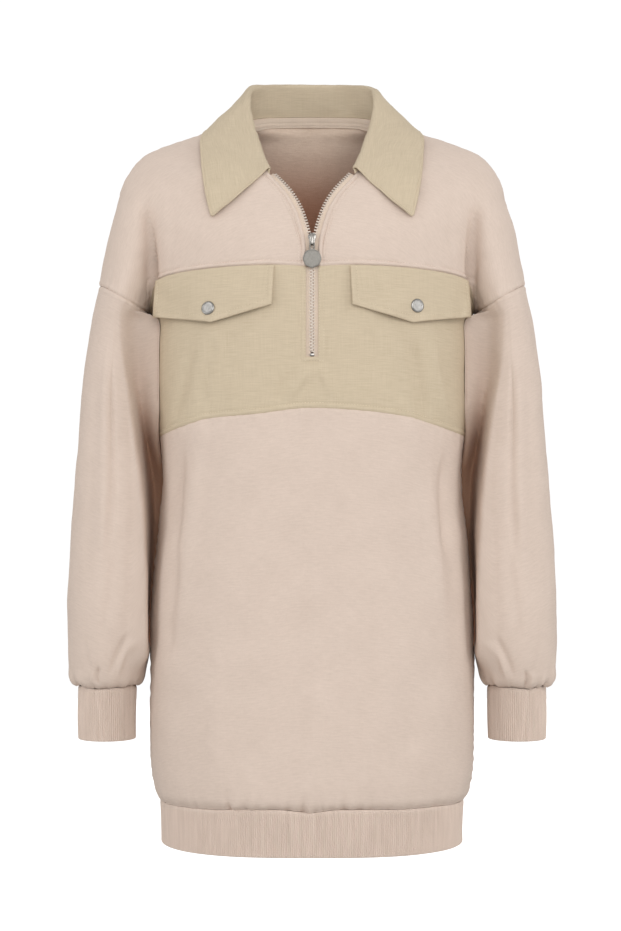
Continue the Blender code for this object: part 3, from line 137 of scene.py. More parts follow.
# sleeve rings below the armhole seam: inner and outer edge in the front view, half depths,
# and how far the front of the ring leans outwards
SLEEVE = table("in_x in_z out_x out_z front back lean",
    (0.1838, -0.2085, 0.2395, -0.1850, 0.0690, 0.0690, 0.001),
    (0.1836, -0.2200, 0.2435, -0.2020, 0.0690, 0.0690, 0.004),
    (0.1790, -0.2420, 0.2480, -0.2290, 0.0680, 0.0680, 0.008),
    (0.1755, -0.2720, 0.2525, -0.2640, 0.0665, 0.0665, 0.010),
    (0.1735, -0.3080, 0.2565, -0.3040, 0.0650, 0.0650, 0.010),
    (0.1708, -0.3500, 0.2602, -0.3480, 0.0635, 0.0635, 0.009),
    (0.1698, -0.3960, 0.2642, -0.3950, 0.0625, 0.0625, 0.006),
    (0.1742, -0.4430, 0.2678, -0.4430, 0.0615, 0.0620, 0.003),
    (0.1788, -0.4900, 0.2704, -0.4900, 0.0605, 0.0610, 0.001),
    (0.1816, -0.5330, 0.2717, -0.5330, 0.0590, 0.0600, 0.000),
    (0.1829, -0.5680, 0.2720, -0.5680, 0.0560, 0.0575, 0.000),
    (0.1850, -0.5930, 0.2708, -0.5930, 0.0515, 0.0530, 0.000),
    (0.1885, -0.6080, 0.2685, -0.6080, 0.0455, 0.0465, 0.000),
    (0.1925, -0.6160, 0.2640, -0.6160, 0.0385, 0.0385, 0.000))
ARM_SWING = 0.012        # the wrist lies this far in front of the armhole

# seams in the front view, as heights at fractions of the half width
CHEST_SEAM = table("at z", (-1.0, -0.3400), (-0.94, -0.3365), (-0.79, -0.3275), (-0.66, -0.3215),
    (-0.36, -0.3170), (0.0, -0.3105), (0.26, -0.3126), (0.58, -0.3190),
    (0.78, -0.3280), (0.93, -0.3365), (1.0, -0.3400))
HEM_SEAM = table("at z", (-1.0, -0.7430), (-0.80, -0.7415), (-0.62, -0.7410), (-0.42, -0.7385),
    (-0.22, -0.7385), (0.0, -0.7415), (0.16, -0.7385), (0.34, -0.7385),
    (0.60, -0.7400), (0.80, -0.7405), (1.0, -0.7430))
# yoke seam from the zip outwards, down into the armhole crease
YOKE_SEAM = table("x z", (0.0065, -0.1592), (0.0400, -0.1577), (0.0887, -0.1590),
    (0.1366, -0.1628), (0.1640, -0.1675), (0.1740, -0.1730),
    (0.1775, -0.1850))
# edge of the front opening, from the neckline down beside the zip
NECK_FRONT = table("x z", (0.0790, 0.0110), (0.0765, -0.0090), (0.0695, -0.0280),
    (0.0590, -0.0435), (0.0460, -0.0565))
ZIP_EDGE = table("x z", (0.0460, -0.0565), (0.0272, -0.0785), (0.0164, -0.0985),
    (0.0094, -0.1215), (0.0067, -0.1370), (0.0065, -0.1592))
NECK_BACK = table("x z", (0.0790, 0.0110), (0.0745, 0.0180), (0.0560, 0.0255),
    (0.0290, 0.0290), (0.0, 0.0300))

# large soft folds: a line in the front view, its half width, height (+ ridge, - trough)
FOLDS = table("side x0 z0 x1 z1 width rise",
    ("front", -0.108, -0.225, -0.129, -0.325, 0.013, 0.0030),
    ("front", -0.090, -0.240, -0.108, -0.320, 0.012, -0.0022),
    ("front", 0.127, -0.235, 0.156, -0.318, 0.012, 0.0030),
    ("front", 0.100, -0.230, 0.118, -0.312, 0.012, -0.0022),
    ("front", -0.128, -0.345, -0.152, -0.520, 0.014, 0.0035),
    ("front", -0.150, -0.390, -0.158, -0.440, 0.011, -0.0035),
    ("front", 0.110, -0.340, 0.140, -0.525, 0.014, 0.0035),
    ("front", 0.128, -0.375, 0.152, -0.480, 0.012, -0.0035),
    ("front", -0.018, -0.470, -0.018, -0.620, 0.018, -0.0025),
    ("back", -0.100, -0.230, -0.040, -0.420, 0.018, -0.0035),
    ("back", 0.105, -0.225, 0.050, -0.400, 0.018, -0.0035),
    ("back", -0.120, -0.420, -0.138, -0.620, 0.016, 0.0030),
    ("back", 0.115, -0.400, 0.135, -0.590, 0.016, 0.0030),
    ("back", 0.015, -0.480, 0.020, -0.660, 0.020, -0.0025))

# collar sections from the centre back to the front end.  The stand goes from the neck seam up to the
# roll, the fall goes down to the free edge.
COLLAR = table("at roll_x roll_y roll_z edge_x edge_y edge_z bow",
    (0.00, 0.0000, 0.0820, 0.0655, 0.0000, 0.0930, 0.0190, 0.004),
    (0.14, 0.0300, 0.0765, 0.0645, 0.0365, 0.0905, 0.0180, 0.004),
    (0.28, 0.0560, 0.0560, 0.0600, 0.0730, 0.0745, 0.0150, 0.004),
    (0.40, 0.0680, 0.0300, 0.0515, 0.0990, 0.0450, 0.0100, 0.003),
    (0.50, 0.0690, 0.0060, 0.0385, 0.1165, 0.0060, 0.0040, 0.002),
    (0.62, 0.0665, -0.0180, 0.0120, 0.1235, -0.0310, -0.0130, 0.003),
    (0.76, 0.0600, -0.0410, -0.0130, 0.1210, -0.0660, -0.0430, 0.004),
    (0.89, 0.0520, -0.0635, -0.0340, 0.1150, -0.0940, -0.0800, 0.006),
    (1.00, 0.0450, -0.0815, -0.0490, 0.1085, -0.1040, -0.1070, 0.007))


# ---------------------------------------------------------------- crease tables
# soft creases: a curve in the front view through three points, its half width, its height (+ ridge,
# - trough), all in millimetres, and how much steeper its left side is than its right.  On the sleeve
# x is in degrees round it: outside 0, front 90, inside 180
CREASE = "x0 z0 x1 z1 x2 z2 width rise lean"
CREASES = {}
CREASES["front"] = table(CREASE,
    # under the zip's end, and across the chest panel
    (-2, -261, -10, -281, -28, -306, 4.5, 2.6, 0.3),
    (4, -262, 16, -284, 26, -306, 4.5, 2.2, 0),
    (-18, -266, -30, -288, -40, -310, 5, -2, 0),
    (106, -222, 114, -275, 128, -334, 7.5, -4.2, 0.3),
    (128, -228, 136, -280, 150, -332, 7, 3, 0.2),
    (-104, -222, -112, -270, -122, -318, 7, -4, 0.3),
    (-128, -230, -140, -282, -154, -326, 7, -3.4, -0.3),
    (62, -224, 70, -258, 86, -300, 8, -1, 0.2),
    # beside the armholes
    (-185, -70, -174.5, -116, -171, -196, 6.6, -6, 0.58),
    (183, -72, 173, -118, 170, -196, 6.6, -6, -0.58),
    (-166, -80, -160, -116, -158, -160, 7, 1.6, 0),
    (164, -82, 159, -118, 157, -160, 7, 1.6, 0),
    (-170, -180, -173.5, -191, -178, -200, 2, 1.6, 0),
    (170, -180, 173.5, -191, 178, -200, 2, 1.6, 0),
    (-174.5, -182, -177, -190, -179.5, -199, 1.6, -1.4, 0),
    (174.5, -182, 177, -190, 179.5, -199, 1.6, -1.4, 0),
    (-120, -44, -132, -82, -140, -140, 11, 1, 0),
    (120, -44, 130, -82, 138, -140, 11, 1, 0),
    # down the sides of the body
    (-140, -342, -144, -400, -148, -470, 7.5, -4.4, 0.3),
    (-146, -440, -153, -520, -156, -590, 8, -3.6, 0.2),
    (-122, -346, -132, -440, -142, -540, 8.5, 3.4, 0),
    (146, -342, 142, -410, 144, -480, 7.5, -4.6, -0.3),
    (124, -346, 130, -430, 144, -540, 8.5, 3.4, 0),
    (152, -470, 156, -540, 154, -610, 8.5, -2, 0),
    (16, -460, 18, -550, 15, -650, 11, -2.4, 0),
    (-52, -540, -60, -610, -56, -690, 14, 1, 0),
    (100, -580, 106, -640, 102, -706, 12, -1.4, 0.2),
    (-100, -600, -106, -650, -102, -706, 11, 1.2, 0),
    (-24, -640, -26, -680, -22, -724, 9, -1.3, 0),
    (62, -650, 58, -690, 60, -728, 8, 1.3, 0),
)
CREASES["back"] = table(CREASE,
    (-150, -120, -110, -135, -60, -130, 11, -1.7, 0.2),
    (150, -125, 105, -142, 55, -136, 11, -1.7, 0.2),
    (-140, -240, -112, -285, -92, -340, 10, -2.4, 0.3),
    (140, -235, 116, -280, 94, -345, 10, -2.4, -0.3),
    (-120, -300, -60, -340, 10, -345, 13, 1.7, 0),
    (125, -310, 70, -365, 0, -380, 13, -1.7, 0),
    (-40, -430, -52, -520, -48, -610, 14, -2, 0.2),
    (62, -440, 70, -530, 66, -640, 14, -2, -0.2),
    (-150, -480, -140, -560, -146, -660, 11, -2.4, 0.2),
    (148, -470, 152, -560, 146, -650, 11, -2.4, 0),
    (-128, -440, -120, -520, -124, -610, 12, 1.8, 0.2),
    (128, -430, 130, -520, 124, -600, 12, 1.8, 0),
    (-10, -560, -4, -630, -12, -700, 12, 1.4, 0),
    (-95, -600, -100, -650, -92, -710, 11, 1.2, 0),
    (110, -600, 104, -655, 112, -708, 11, 1.2, 0),
    (-184, -80, -175, -118, -171, -180, 7, -2.6, 0),
    (184, -80, 175, -118, 171, -180, 7, -2.6, 0),
)
CREASES["sleeve"] = table(CREASE,
    # on a sleeve the first number is degrees round it: 0 outside, 90 front, 180 inside, 270 back
    (79, -225, 81, -330, 84, -500, 7.5, 3, 0.2),
    (95, -240, 95, -360, 97, -480, 7, -2.2, 0.3),
    (60, -250, 62, -380, 66, -520, 9, -1.2, 0),
    (104, -450, 98, -510, 86, -575, 8, -1.4, -0.2),
    (128, -552, 112, -578, 100, -602, 4, -2.6, 0.3),
    (134, -556, 120, -582, 110, -606, 4, 1.8, 0),
    (84, -590, 81, -602, 84, -613, 2.6, -3.4, 0),
    (74, -592, 72, -604, 74, -613, 3, 2.2, 0),
    (60, -560, 66, -585, 76, -600, 5, -1.2, 0.3),
    (20, -570, 30, -590, 34, -606, 6, 1, 0),
    (290, -240, 300, -340, 296, -500, 11, -2.4, 0.2),
    (272, -250, 276, -350, 274, -500, 10, 2.2, 0),
    (250, -260, 244, -360, 250, -480, 10, -1.8, 0),
    (330, -300, 338, -420, 330, -540, 12, 1.2, 0),
    (280, -555, 268, -580, 250, -600, 6, -2.2, 0.2),
    (225, -500, 216, -540, 222, -590, 8, -1.4, 0))


# ---------------------------------------------------------------- small tools
def lerp(a, b, t):
    return a + (b - a) * t


def smoothstep(t):
    t = np.clip(t, 0, 1)
    return t * t * (3 - 2 * t)


def window(x, start, rise, end, fall):
    """1 between start and end, and softly 0 outside them."""
    return smoothstep((x - start) / rise) * smoothstep((end - x) / fall)


def unit(v):
    return v / np.maximum(np.linalg.norm(v, axis=-1, keepdims=True), 1e-12)


def mirrored(a):
    return a * np.array([-1.0, 1.0, 1.0])


def hermite(t, y0, m0, y1, m1):
    """A cubic from y0 to y1, with its slopes at both ends times the step."""
    return ((2 * t ** 3 - 3 * t ** 2 + 1) * y0 + (t ** 3 - 2 * t ** 2 + t) * m0
            + (3 * t ** 2 - 2 * t ** 3) * y1 + (t ** 3 - t ** 2) * m1)


def monotone(rows, column, key="z"):
    """A smooth curve through one column of a table, with no overshoot."""
    rows = sorted(rows, key=lambda r: getattr(r, key))
    xs, ys = (np.array([getattr(r, k) for r in rows]) for k in (key, column))
    step, slope = np.diff(xs), np.diff(ys) / np.diff(xs)
    tangent = np.zeros(len(xs))
    tangent[0], tangent[-1] = slope[0], slope[-1]
    for i in range(1, len(xs) - 1):
        if slope[i - 1] * slope[i] > 0:
            tangent[i] = 2 * slope[i - 1] * slope[i] / (slope[i - 1] + slope[i])

    def curve(x):
        x = np.clip(np.asarray(x, float), xs[0], xs[-1])
        i = np.clip(np.searchsorted(xs, x) - 1, 0, len(xs) - 2)
        return hermite((x - xs[i]) / step[i], ys[i], step[i] * tangent[i], ys[i + 1],
                       step[i] * tangent[i + 1])
    return curve


def smooth_path(points, count=24):
    """A Catmull-Rom curve through points, as a dense polyline."""
    p = np.array(points, float)
    p = np.vstack([2 * p[0] - p[1], p, 2 * p[-1] - p[-2]])
    t = np.linspace(0, 1, count, endpoint=False)[:, None]
    out = [0.5 * (2 * p[i] + (p[i + 1] - p[i - 1]) * t
                  + (2 * p[i - 1] - 5 * p[i] + 4 * p[i + 1] - p[i + 2]) * t ** 2
                  + (3 * p[i] - p[i - 1] - 3 * p[i + 1] + p[i + 2]) * t ** 3) for i in range(1, len(p) - 2)]
    return np.vstack(out + [p[-2:-1]])


def length_along(path):
    return np.concatenate([[0.0], np.cumsum(np.linalg.norm(np.diff(path, axis=0), axis=1))])


def read_off(want, far, values):
    """Values along a line, read at distances from its start."""
    return np.stack([np.interp(want, far, values[:, k]) for k in range(values.shape[1])], -1)


def at_fractions(path, fractions, measure=None):
    """Points of a polyline at fractions of its length, the length taken on another one if given."""
    far = length_along(path if measure is None else measure)
    return read_off(np.asarray(fractions) * far[-1], far, path)


def profile(gap, *bumps):
    """A section made of soft bumps, each (height, place, half width)."""
    return sum(rise * np.exp(-((gap - place) / width) ** 2) for rise, place, width in bumps)


# ---------------------------------------------------------------- the body field
half_width = monotone(BODY, "half_width")
depth_of = {"front": monotone(BODY, "front"), "back": monotone(BODY, "back")}
FACING = {"front": -1, "back": 1}                      # the way each side looks along y
square, ridge = monotone(BODY, "square"), monotone(BODY, "ridge")
arm_inner, arm_outer = monotone(ARM, "inner"), monotone(ARM, "outer")
chest_seam, hem_seam = monotone(CHEST_SEAM, "z", "at"), monotone(HEM_SEAM, "z", "at")


def field(x, z):
    """Square of the base depth, negative outside the front view's outline."""
    ax = np.abs(x)
    torso = BASE_DEPTH ** 2 * (1 - (ax / half_width(z)) ** square(z))
    inner, outer = arm_inner(z), arm_outer(z)
    cap = np.maximum(z - CAP_Z, 0) / CAP_H
    arm = ARM_DEPTH ** 2 * (1 - ((ax - (inner + outer) / 2) / ((outer - inner) / 2)) ** 2 - cap ** 2)
    top = np.maximum(torso, arm)
    return top + SOFT * np.log(np.exp((torso - top) / SOFT) + np.exp((arm - top) / SOFT))


def fold_height(x, z, side):
    total = np.zeros(np.shape(x + z))
    for f in FOLDS:
        if f.side != side:
            continue
        dx, dz = f.x1 - f.x0, f.z1 - f.z0
        length = math.hypot(dx, dz)
        along = ((x - f.x0) * dx + (z - f.z0) * dz) / length
        across = ((x - f.x0) * dz - (z - f.z0) * dx) / length
        past = np.maximum(np.maximum(-along, along - length), 0)
        total = total + f.rise * np.exp(-(across / f.width) ** 2 - (past / (1.6 * f.width)) ** 2)
    return total


def depth(x, z, side):
    """How far the panel lies in front of (or behind) the plane of the side seams."""
    base = np.sqrt(np.maximum(field(x, z), 0))
    d = base * depth_of[side](z) / BASE_DEPTH
    if side == "back":
        d = d * np.maximum(base / BASE_DEPTH, 1e-9) ** ridge(z)
    return d + fold_height(x, z, side) * smoothstep(d / 0.045)


def on_body(xz, side):
    """3-D points of an array of (x, z)."""
    x, z = xz[..., 0], xz[..., 1]
    return np.stack([x, depth(x, z, side) * FACING[side], z], axis=-1)


def body_normal(xz, side):
    """Outward normals, from the gradient of depth squared."""
    x, z = xz[..., 0], xz[..., 1]
    e, thin = 2e-4, 1e-4

    def depth_squared(a, b):
        return np.where(field(a, b) > 0, depth(a, b, side) ** 2, field(a, b))
    gx = (depth_squared(x + e, z) - depth_squared(x - e, z)) / (2 * e)
    gz = (depth_squared(x, z + e) - depth_squared(x, z - e)) / (2 * e)
    y = np.maximum(depth(x, z, side), thin) * FACING[side]
    return unit(np.stack([-gx, 2 * y, -gz], axis=-1))


def halved(inside, outside, is_inside):
    """Closes in on the edge between places inside and outside, from both."""
    for _ in range(48):
        middle = (inside + outside) / 2
        good = is_inside(middle)
        inside, outside = np.where(good, middle, inside), np.where(good, outside, middle)
    return inside, outside


def root(inside, outside, z):
    """x between inside and outside where the field is zero, at heights z."""
    return sum(halved(np.broadcast_to(inside, z.shape), np.broadcast_to(outside, z.shape),
                      lambda x: field(x, z) > 0)) / 2


def find_underarm():
    """The highest point of the gap between torso and arm: where side seam and armhole meet."""
    xs = np.linspace(0.174, 0.190, 161)
    tops = halved(np.full(xs.shape, -0.185), np.full(xs.shape, -0.235), lambda z: field(xs, z) > 0)[0]
    k = int(np.argmax(tops))
    return float(xs[k]), float(tops[k])


UNDER_X, UNDER_Z = find_underarm()


def side_x(z):
    """Half width of the torso's outline below the underarm."""
    z = np.asarray(z, float)
    limit = np.where(z > -0.25, UNDER_X, np.maximum(UNDER_X, half_width(z) + 0.015))
    return np.where(z >= UNDER_Z, UNDER_X, root(0.150, limit, z))


def outer_x(z):
    """Half width of the outline from the neck point down to the armhole seam."""
    return root(np.where(z < -0.07, (arm_inner(z) + arm_outer(z)) / 2, half_width(z) * 0.85), 0.275, z)


# ---------------------------------------------------------------- finishes
def put(tree, kind, inputs=None, **settings):
    """Adds a node, with its settings, and its inputs given as values or as sockets to link from."""
    made = tree.nodes.new("ShaderNode" + kind)
    for key, value in settings.items():
        setattr(made, key, value)
    for key, value in (inputs or {}).items():
        if isinstance(value, bpy.types.NodeSocket):
            tree.links.new(value, made.inputs[key])
        else:
            made.inputs[key].default_value = value
    return made


def calc(tree, operation, *values):
    return put(tree, "Math", dict(enumerate(values)), operation=operation).outputs[0]


def blend(tree, *terms):
    """The sum of (socket, weight) terms."""
    total = calc(tree, "MULTIPLY", *terms[0])
    for term in terms[1:]:
        total = calc(tree, "ADD", total, calc(tree, "MULTIPLY", *term))
    return total


def noise(tree, vector, scale=1.0, detail=2.0, roughness=0.5, distortion=0.0, stretch=None):
    """Noise of the given size, or stretched by its own scale along each axis."""
    if stretch:
        vector = put(tree, "VectorMath", {0: vector, 1: stretch}, operation="MULTIPLY").outputs[0]
    return put(tree, "TexNoise", {"Vector": vector, "Scale": scale, "Detail": detail,
                                  "Roughness": roughness, "Distortion": distortion}).outputs[0]


def pattern_group(name, build, **numbers):
    """A node group that turns a Vector and named numbers into the Tone and Height that build returns."""
    tree = bpy.data.node_groups.new(name, "ShaderNodeTree")
    tree.interface.new_socket("Vector", in_out="INPUT", socket_type="NodeSocketVector")
    for key, value in numbers.items():
        tree.interface.new_socket(key, in_out="INPUT", socket_type="NodeSocketFloat").default_value = value
    for key in ("Tone", "Height"):
        tree.interface.new_socket(key, in_out="OUTPUT", socket_type="NodeSocketFloat")
    given, result = tree.nodes.new("NodeGroupInput").outputs, tree.nodes.new("NodeGroupOutput").inputs
    for key, socket in zip(("Tone", "Height"), build(tree, given)):
        tree.links.new(socket, result[key])
    return tree


def nap(tree, given):
    """Brushed nap: fine fibres, faint streaks along the courses, small clumps and slow clouds of tone."""
    vector = given["Vector"]
    fibre = noise(tree, vector, given["Fibre"], 3.0, 0.65)
    clump = noise(tree, vector, given["Clump"], 2.0, 0.6, 0.6)
    streak = noise(tree, vector, detail=3.0, roughness=0.6, stretch=(85.0, 620.0, 1.0))
    cloud = noise(tree, vector, given["Cloud"])
    return (blend(tree, (fibre, 0.24), (clump, 0.18), (streak, 0.42), (cloud, 0.16)),
            blend(tree, (fibre, 0.45), (clump, 0.20), (streak, 0.35)))


def weave(tree, given):
    """Plain weave with slubs: thick and thin threads, mostly across the cloth."""
    vector = given["Vector"]
    split = put(tree, "SeparateXYZ", {0: vector}).outputs
    turn = calc(tree, "MULTIPLY", given["Thread"], 2 * math.pi)
    warp, weft = (calc(tree, "SINE", calc(tree, "MULTIPLY", split[k], turn)) for k in (0, 1))
    threads = calc(tree, "MULTIPLY", warp, weft)
    across = noise(tree, vector, roughness=0.55, stretch=(48.0, 900.0, 1.0))
    fine = noise(tree, vector, detail=1.0, stretch=(160.0, 2000.0, 1.0))
    down = noise(tree, vector, stretch=(1100.0, 30.0, 1.0))
    slub = blend(tree, (across, 0.50), (fine, 0.22), (down, 0.28))
    strength = calc(tree, "MULTIPLY", given["Slub"], 2.0)
    tone = calc(tree, "ADD", calc(tree, "MULTIPLY", calc(tree, "ADD", slub, -0.5), strength), 0.5)
    return tone, blend(tree, (threads, 0.12), (slub, 1.0))


def rib_loops(tree, given):
    """Columns of knit loops on the ribs: small v shapes one above another."""
    split = put(tree, "SeparateXYZ", {0: given["Vector"]}).outputs
    off = calc(tree, "PINGPONG", calc(tree, "MULTIPLY", split[0], given["Rib"]), 1.0)
    v = blend(tree, (split[1], given["Course"]), (off, 0.9))
    loop = calc(tree, "SINE", calc(tree, "MULTIPLY", v, 2 * math.pi))
    grain = noise(tree, given["Vector"], 1300.0)
    slow = noise(tree, given["Vector"], stretch=(260.0, 18.0, 1.0))
    return blend(tree, (loop, 0.10), (grain, 0.5), (slow, 0.5)), blend(tree, (loop, 0.25), (grain, 0.6))


def brushing(tree, given):
    """Satin metal: fine brushing, and small dull and bright patches from handling."""
    brush = noise(tree, given["Vector"], given["Brush"], stretch=(1.0, 1.0, 0.12))
    patches = noise(tree, given["Vector"], 420.0, 3.0)
    return blend(tree, (brush, 0.4), (patches, 0.6)), brush


NAP = pattern_group("brushed_nap", nap, Fibre=1500.0, Clump=380.0, Cloud=26.0)
WEAVE = pattern_group("slub_weave", weave, Thread=1500.0, Slub=0.6)
LOOPS = pattern_group("rib_loops", rib_loops, Rib=425.0, Course=620.0)
BRUSHED = pattern_group("brushed_metal", brushing, Brush=2600.0)


def finish(name, group, dark, light, rough, bump, relief, spread=(0.30, 0.70), metal=0.0, sheen=0.0,
           rough_to=None, on_uv=False, specular=0.35, mask=None, mask_tint=None, **group_values):
    """A material that mixes two tones by its group's pattern and raises its height.  Where the piece's
    attribute named by mask is 1, the colour is multiplied by mask_tint: here that paints shade into the
    sleeves' crease and light near the back neck."""
    made = bpy.data.materials.new(name)
    made.use_nodes = True
    tree = made.node_tree
    shader = tree.nodes["Principled BSDF"]
    place = put(tree, "TexCoord").outputs["UV" if on_uv else "Object"]
    pattern = put(tree, "Group", node_tree=group)
    tree.links.new(place, pattern.inputs["Vector"])
    for key, value in group_values.items():
        pattern.inputs[key].default_value = value
    tone = pattern.outputs["Tone"]
    level = put(tree, "MapRange", {"Value": tone, "From Min": spread[0], "From Max": spread[1]}).outputs[0]
    colour = put(tree, "Mix", {0: level, 6: (*dark, 1), 7: (*light, 1)}, data_type="RGBA").outputs[2]
    if mask:
        where = put(tree, "Attribute", attribute_name=mask).outputs["Fac"]
        colour = put(tree, "Mix", {0: where, 6: colour, 7: (*mask_tint, 1)}, data_type="RGBA",
                     blend_type="MULTIPLY").outputs[2]
    height = put(tree, "Bump", {"Height": pattern.outputs["Height"], "Strength": bump, "Distance": relief})
    tree.links.new(colour, shader.inputs["Base Color"])
    tree.links.new(height.outputs[0], shader.inputs["Normal"])
    values = {"Metallic": metal, "Specular IOR Level": specular, "Roughness": rough}
    if sheen:
        values.update({"Sheen Weight": sheen, "Sheen Roughness": 0.55, "Sheen Tint": (1.0, 0.93, 0.87, 1)})
    for key, value in values.items():
        shader.inputs[key].default_value = value
    if rough_to:
        varied = put(tree, "MapRange", {"Value": tone, "To Min": rough, "To Max": rough_to})
        tree.links.new(varied.outputs[0], shader.inputs["Roughness"])
    return made


# painted shade: where a sleeve lies deep in the crease beside the body, the fleece's colour is darkened and
# warmed by mask_tint
FLEECE_MAT = finish("fleece", NAP, (0.585, 0.474, 0.399), (0.712, 0.588, 0.506), 0.95, 0.35, 0.0005,
                    sheen=0.08, on_uv=True, mask="hollow", mask_tint=(0.62, 0.44, 0.34))
# painted shade: the cloth's wrong side is a darker, redder copy of the fleece, as it looks in shade inside
# the garment; where its mask is 1, near the back neck, mask_tint paints light back in
SHADED_INSIDE_MAT = finish("fleece_inside_painted_shade", NAP, (0.420, 0.205, 0.130), (0.540, 0.285, 0.190), 0.97, 0.6, 0.0009,
                    specular=0.08, on_uv=True, mask="painted_neck_light", mask_tint=(1.75, 2.75, 3.40), Fibre=1100.0,
                    Clump=300.0)
TWILL_MAT = finish("twill", WEAVE, (0.486, 0.397, 0.277), (0.648, 0.546, 0.404), 0.88, 0.45, 0.0004,
                   on_uv=True, spread=(0.18, 0.82))
RIB_MAT = finish("rib_knit", LOOPS, (0.590, 0.475, 0.400), (0.745, 0.616, 0.533), 0.95, 0.5, 0.0005,
                 on_uv=True, sheen=0.08)
TAPE_MAT = finish("zip_tape", WEAVE, (0.630, 0.510, 0.410), (0.790, 0.655, 0.540), 0.85, 0.5, 0.0004,
                  on_uv=True, spread=(0.2, 0.8), Thread=1700.0)
NECK_MAT = finish("neck_tape", WEAVE, (0.655, 0.530, 0.425), (0.810, 0.675, 0.550), 0.85, 0.5, 0.0004,
                  on_uv=True, spread=(0.2, 0.8), Thread=1200.0)
PINK_THREAD = finish("fleece_thread", WEAVE, (0.640, 0.525, 0.445), (0.800, 0.680, 0.595), 0.60, 0.3, 0.0002)
SAGE_THREAD = finish("twill_thread", WEAVE, (0.560, 0.480, 0.350), (0.740, 0.650, 0.505), 0.60, 0.3, 0.0002)
NICKEL = finish("nickel", BRUSHED, (0.250, 0.240, 0.226), (0.370, 0.360, 0.344), 0.22, 0.10, 0.0001,
                metal=1.0, rough_to=0.36)
SATIN = finish("satin_metal", BRUSHED, (0.195, 0.184, 0.166), (0.290, 0.277, 0.254), 0.40, 0.25, 0.0001,
               metal=1.0, rough_to=0.58)
ZIP_METAL = finish("zip_metal", BRUSHED, (0.530, 0.450, 0.385), (0.670, 0.580, 0.500), 0.38, 0.10, 0.0001,
                   metal=0.2, rough_to=0.52)
SLIDER_METAL = finish("slider_metal", BRUSHED, (0.250, 0.235, 0.215), (0.430, 0.410, 0.385), 0.18, 0.10,
                      0.0001, metal=1.0, rough_to=0.30)

# ---------------------------------------------------------------- creases, puckers and seams
EDGE_STEPS = np.array((0.0007, 0.0016, 0.0028, 0.0040, 0.0049, 0.0059, 0.0074, 0.0094))  # rows by a seam
CLOTH_STEP = 0.0032          # even rows away from the seams
AROUND = 0.34 / 360          # metres round a sleeve to one degree
MM = 0.001


def spacing(length, step=CLOTH_STEP, start=True, end=True):
    """Fractions along a length: close rows beside each seam and even steps between them."""
    near = EDGE_STEPS / length
    low, high = near[-1] if start else 0.0, 1 - near[-1] if end else 1.0
    parts = [[0.0], near[:-1]] if start else []
    parts += [np.linspace(low, high, max(2, round((high - low) * length / step)) + 1)]
    parts += [(1 - near[:-1])[::-1], [1.0]] if end else []
    return np.concatenate(parts)


def ripple(points, size, seed, waves=18):
    """Uneven waves through space, about as long as size, mostly between -1.5 and 1.5."""
    rng = np.random.default_rng(seed)
    way = unit(rng.normal(size=(waves, points.shape[-1]))) * 2 * math.pi / size
    way = way * rng.uniform(0.55, 1.5, (waves, 1))
    return np.sin(points @ way.T + rng.uniform(0, 2 * math.pi, waves)).sum(-1) / math.sqrt(waves / 2)


def run_ripple(s, size, seed):
    """The same along one line."""
    return ripple(np.asarray(s)[..., None], size, seed)


def near_line(points, line):
    """Distance of every point of a grid from a line, and how far along the line it is."""
    flat, far = points.reshape(-1, points.shape[-1]), length_along(line)
    start, step = line[:-1], np.diff(line, axis=0)
    size = np.maximum((step ** 2).sum(1), 1e-14)
    gap, place = np.empty(len(flat)), np.empty(len(flat))
    block_of = 2000                                    # points at a time, to spare memory
    for k in range(0, len(flat), block_of):
        part = flat[k:k + block_of, None]
        t = np.clip(((part - start) * step).sum(2) / size, 0, 1)
        d = np.linalg.norm(part - start - t[..., None] * step, axis=2)
        best, row = d.argmin(1), np.arange(len(d))
        gap[k:k + block_of] = d[row, best]
        place[k:k + block_of] = far[best] + t[row, best] * np.sqrt(size[best])
    return gap.reshape(points.shape[:-1]), place.reshape(points.shape[:-1])


def crease_height(x, z, creases, wrap=None):
    """Height of a table of creases at points of the front view, or of a rolled-out sleeve."""
    total = np.zeros(x.shape)
    across = AROUND if wrap else MM
    for c in creases:
        ends = ((c.x0, c.z0), (c.x1, c.z1), (c.x2, c.z2))
        path = smooth_path([(x * across, z * MM) for x, z in ends], 10)
        far = length_along(path)
        reach = 3 * c.width * MM
        for shift in ((-wrap, 0.0, wrap) if wrap else (0.0,)):
            p = np.stack([x + shift, z], axis=-1)
            box = ((p > path.min(0) - reach) & (p < path.max(0) + reach)).all(-1)
            if not box.any():
                continue
            p = p[box]
            gap, place = near_line(p, path)
            k = np.clip(np.searchsorted(far, place) - 1, 0, len(path) - 2)
            way, off = path[k + 1] - path[k], p - path[k]
            left = np.sign(way[..., 0] * off[..., 1] - way[..., 1] * off[..., 0])
            share = place / far[-1]
            width = c.width * MM * (1 - c.lean * left) * (0.55 + 0.45 * np.sin(math.pi * share))
            total[box] += c.rise * MM * np.exp(-(gap / width) ** 2) * window(share, 0, 0.3, 1, 0.3)
    return total


def pucker(gap, place, size, rise, reach, seed):
    """Small gathers that start at a seam and fade away from it."""
    return rise * run_ripple(place, size, seed) * np.exp(-(gap / reach) ** 1.5)


def plain_seam(points, line, seed, dip=0.0010):
    """The cloth rolls down into a plain seam along a line."""
    gap, place = near_line(points, line)
    return (profile(gap, (-dip, 0, 0.0011), (0.00040, 0.0034, 0.0018))
            + pucker(gap, place, 0.013, 0.00026, 0.010, seed))


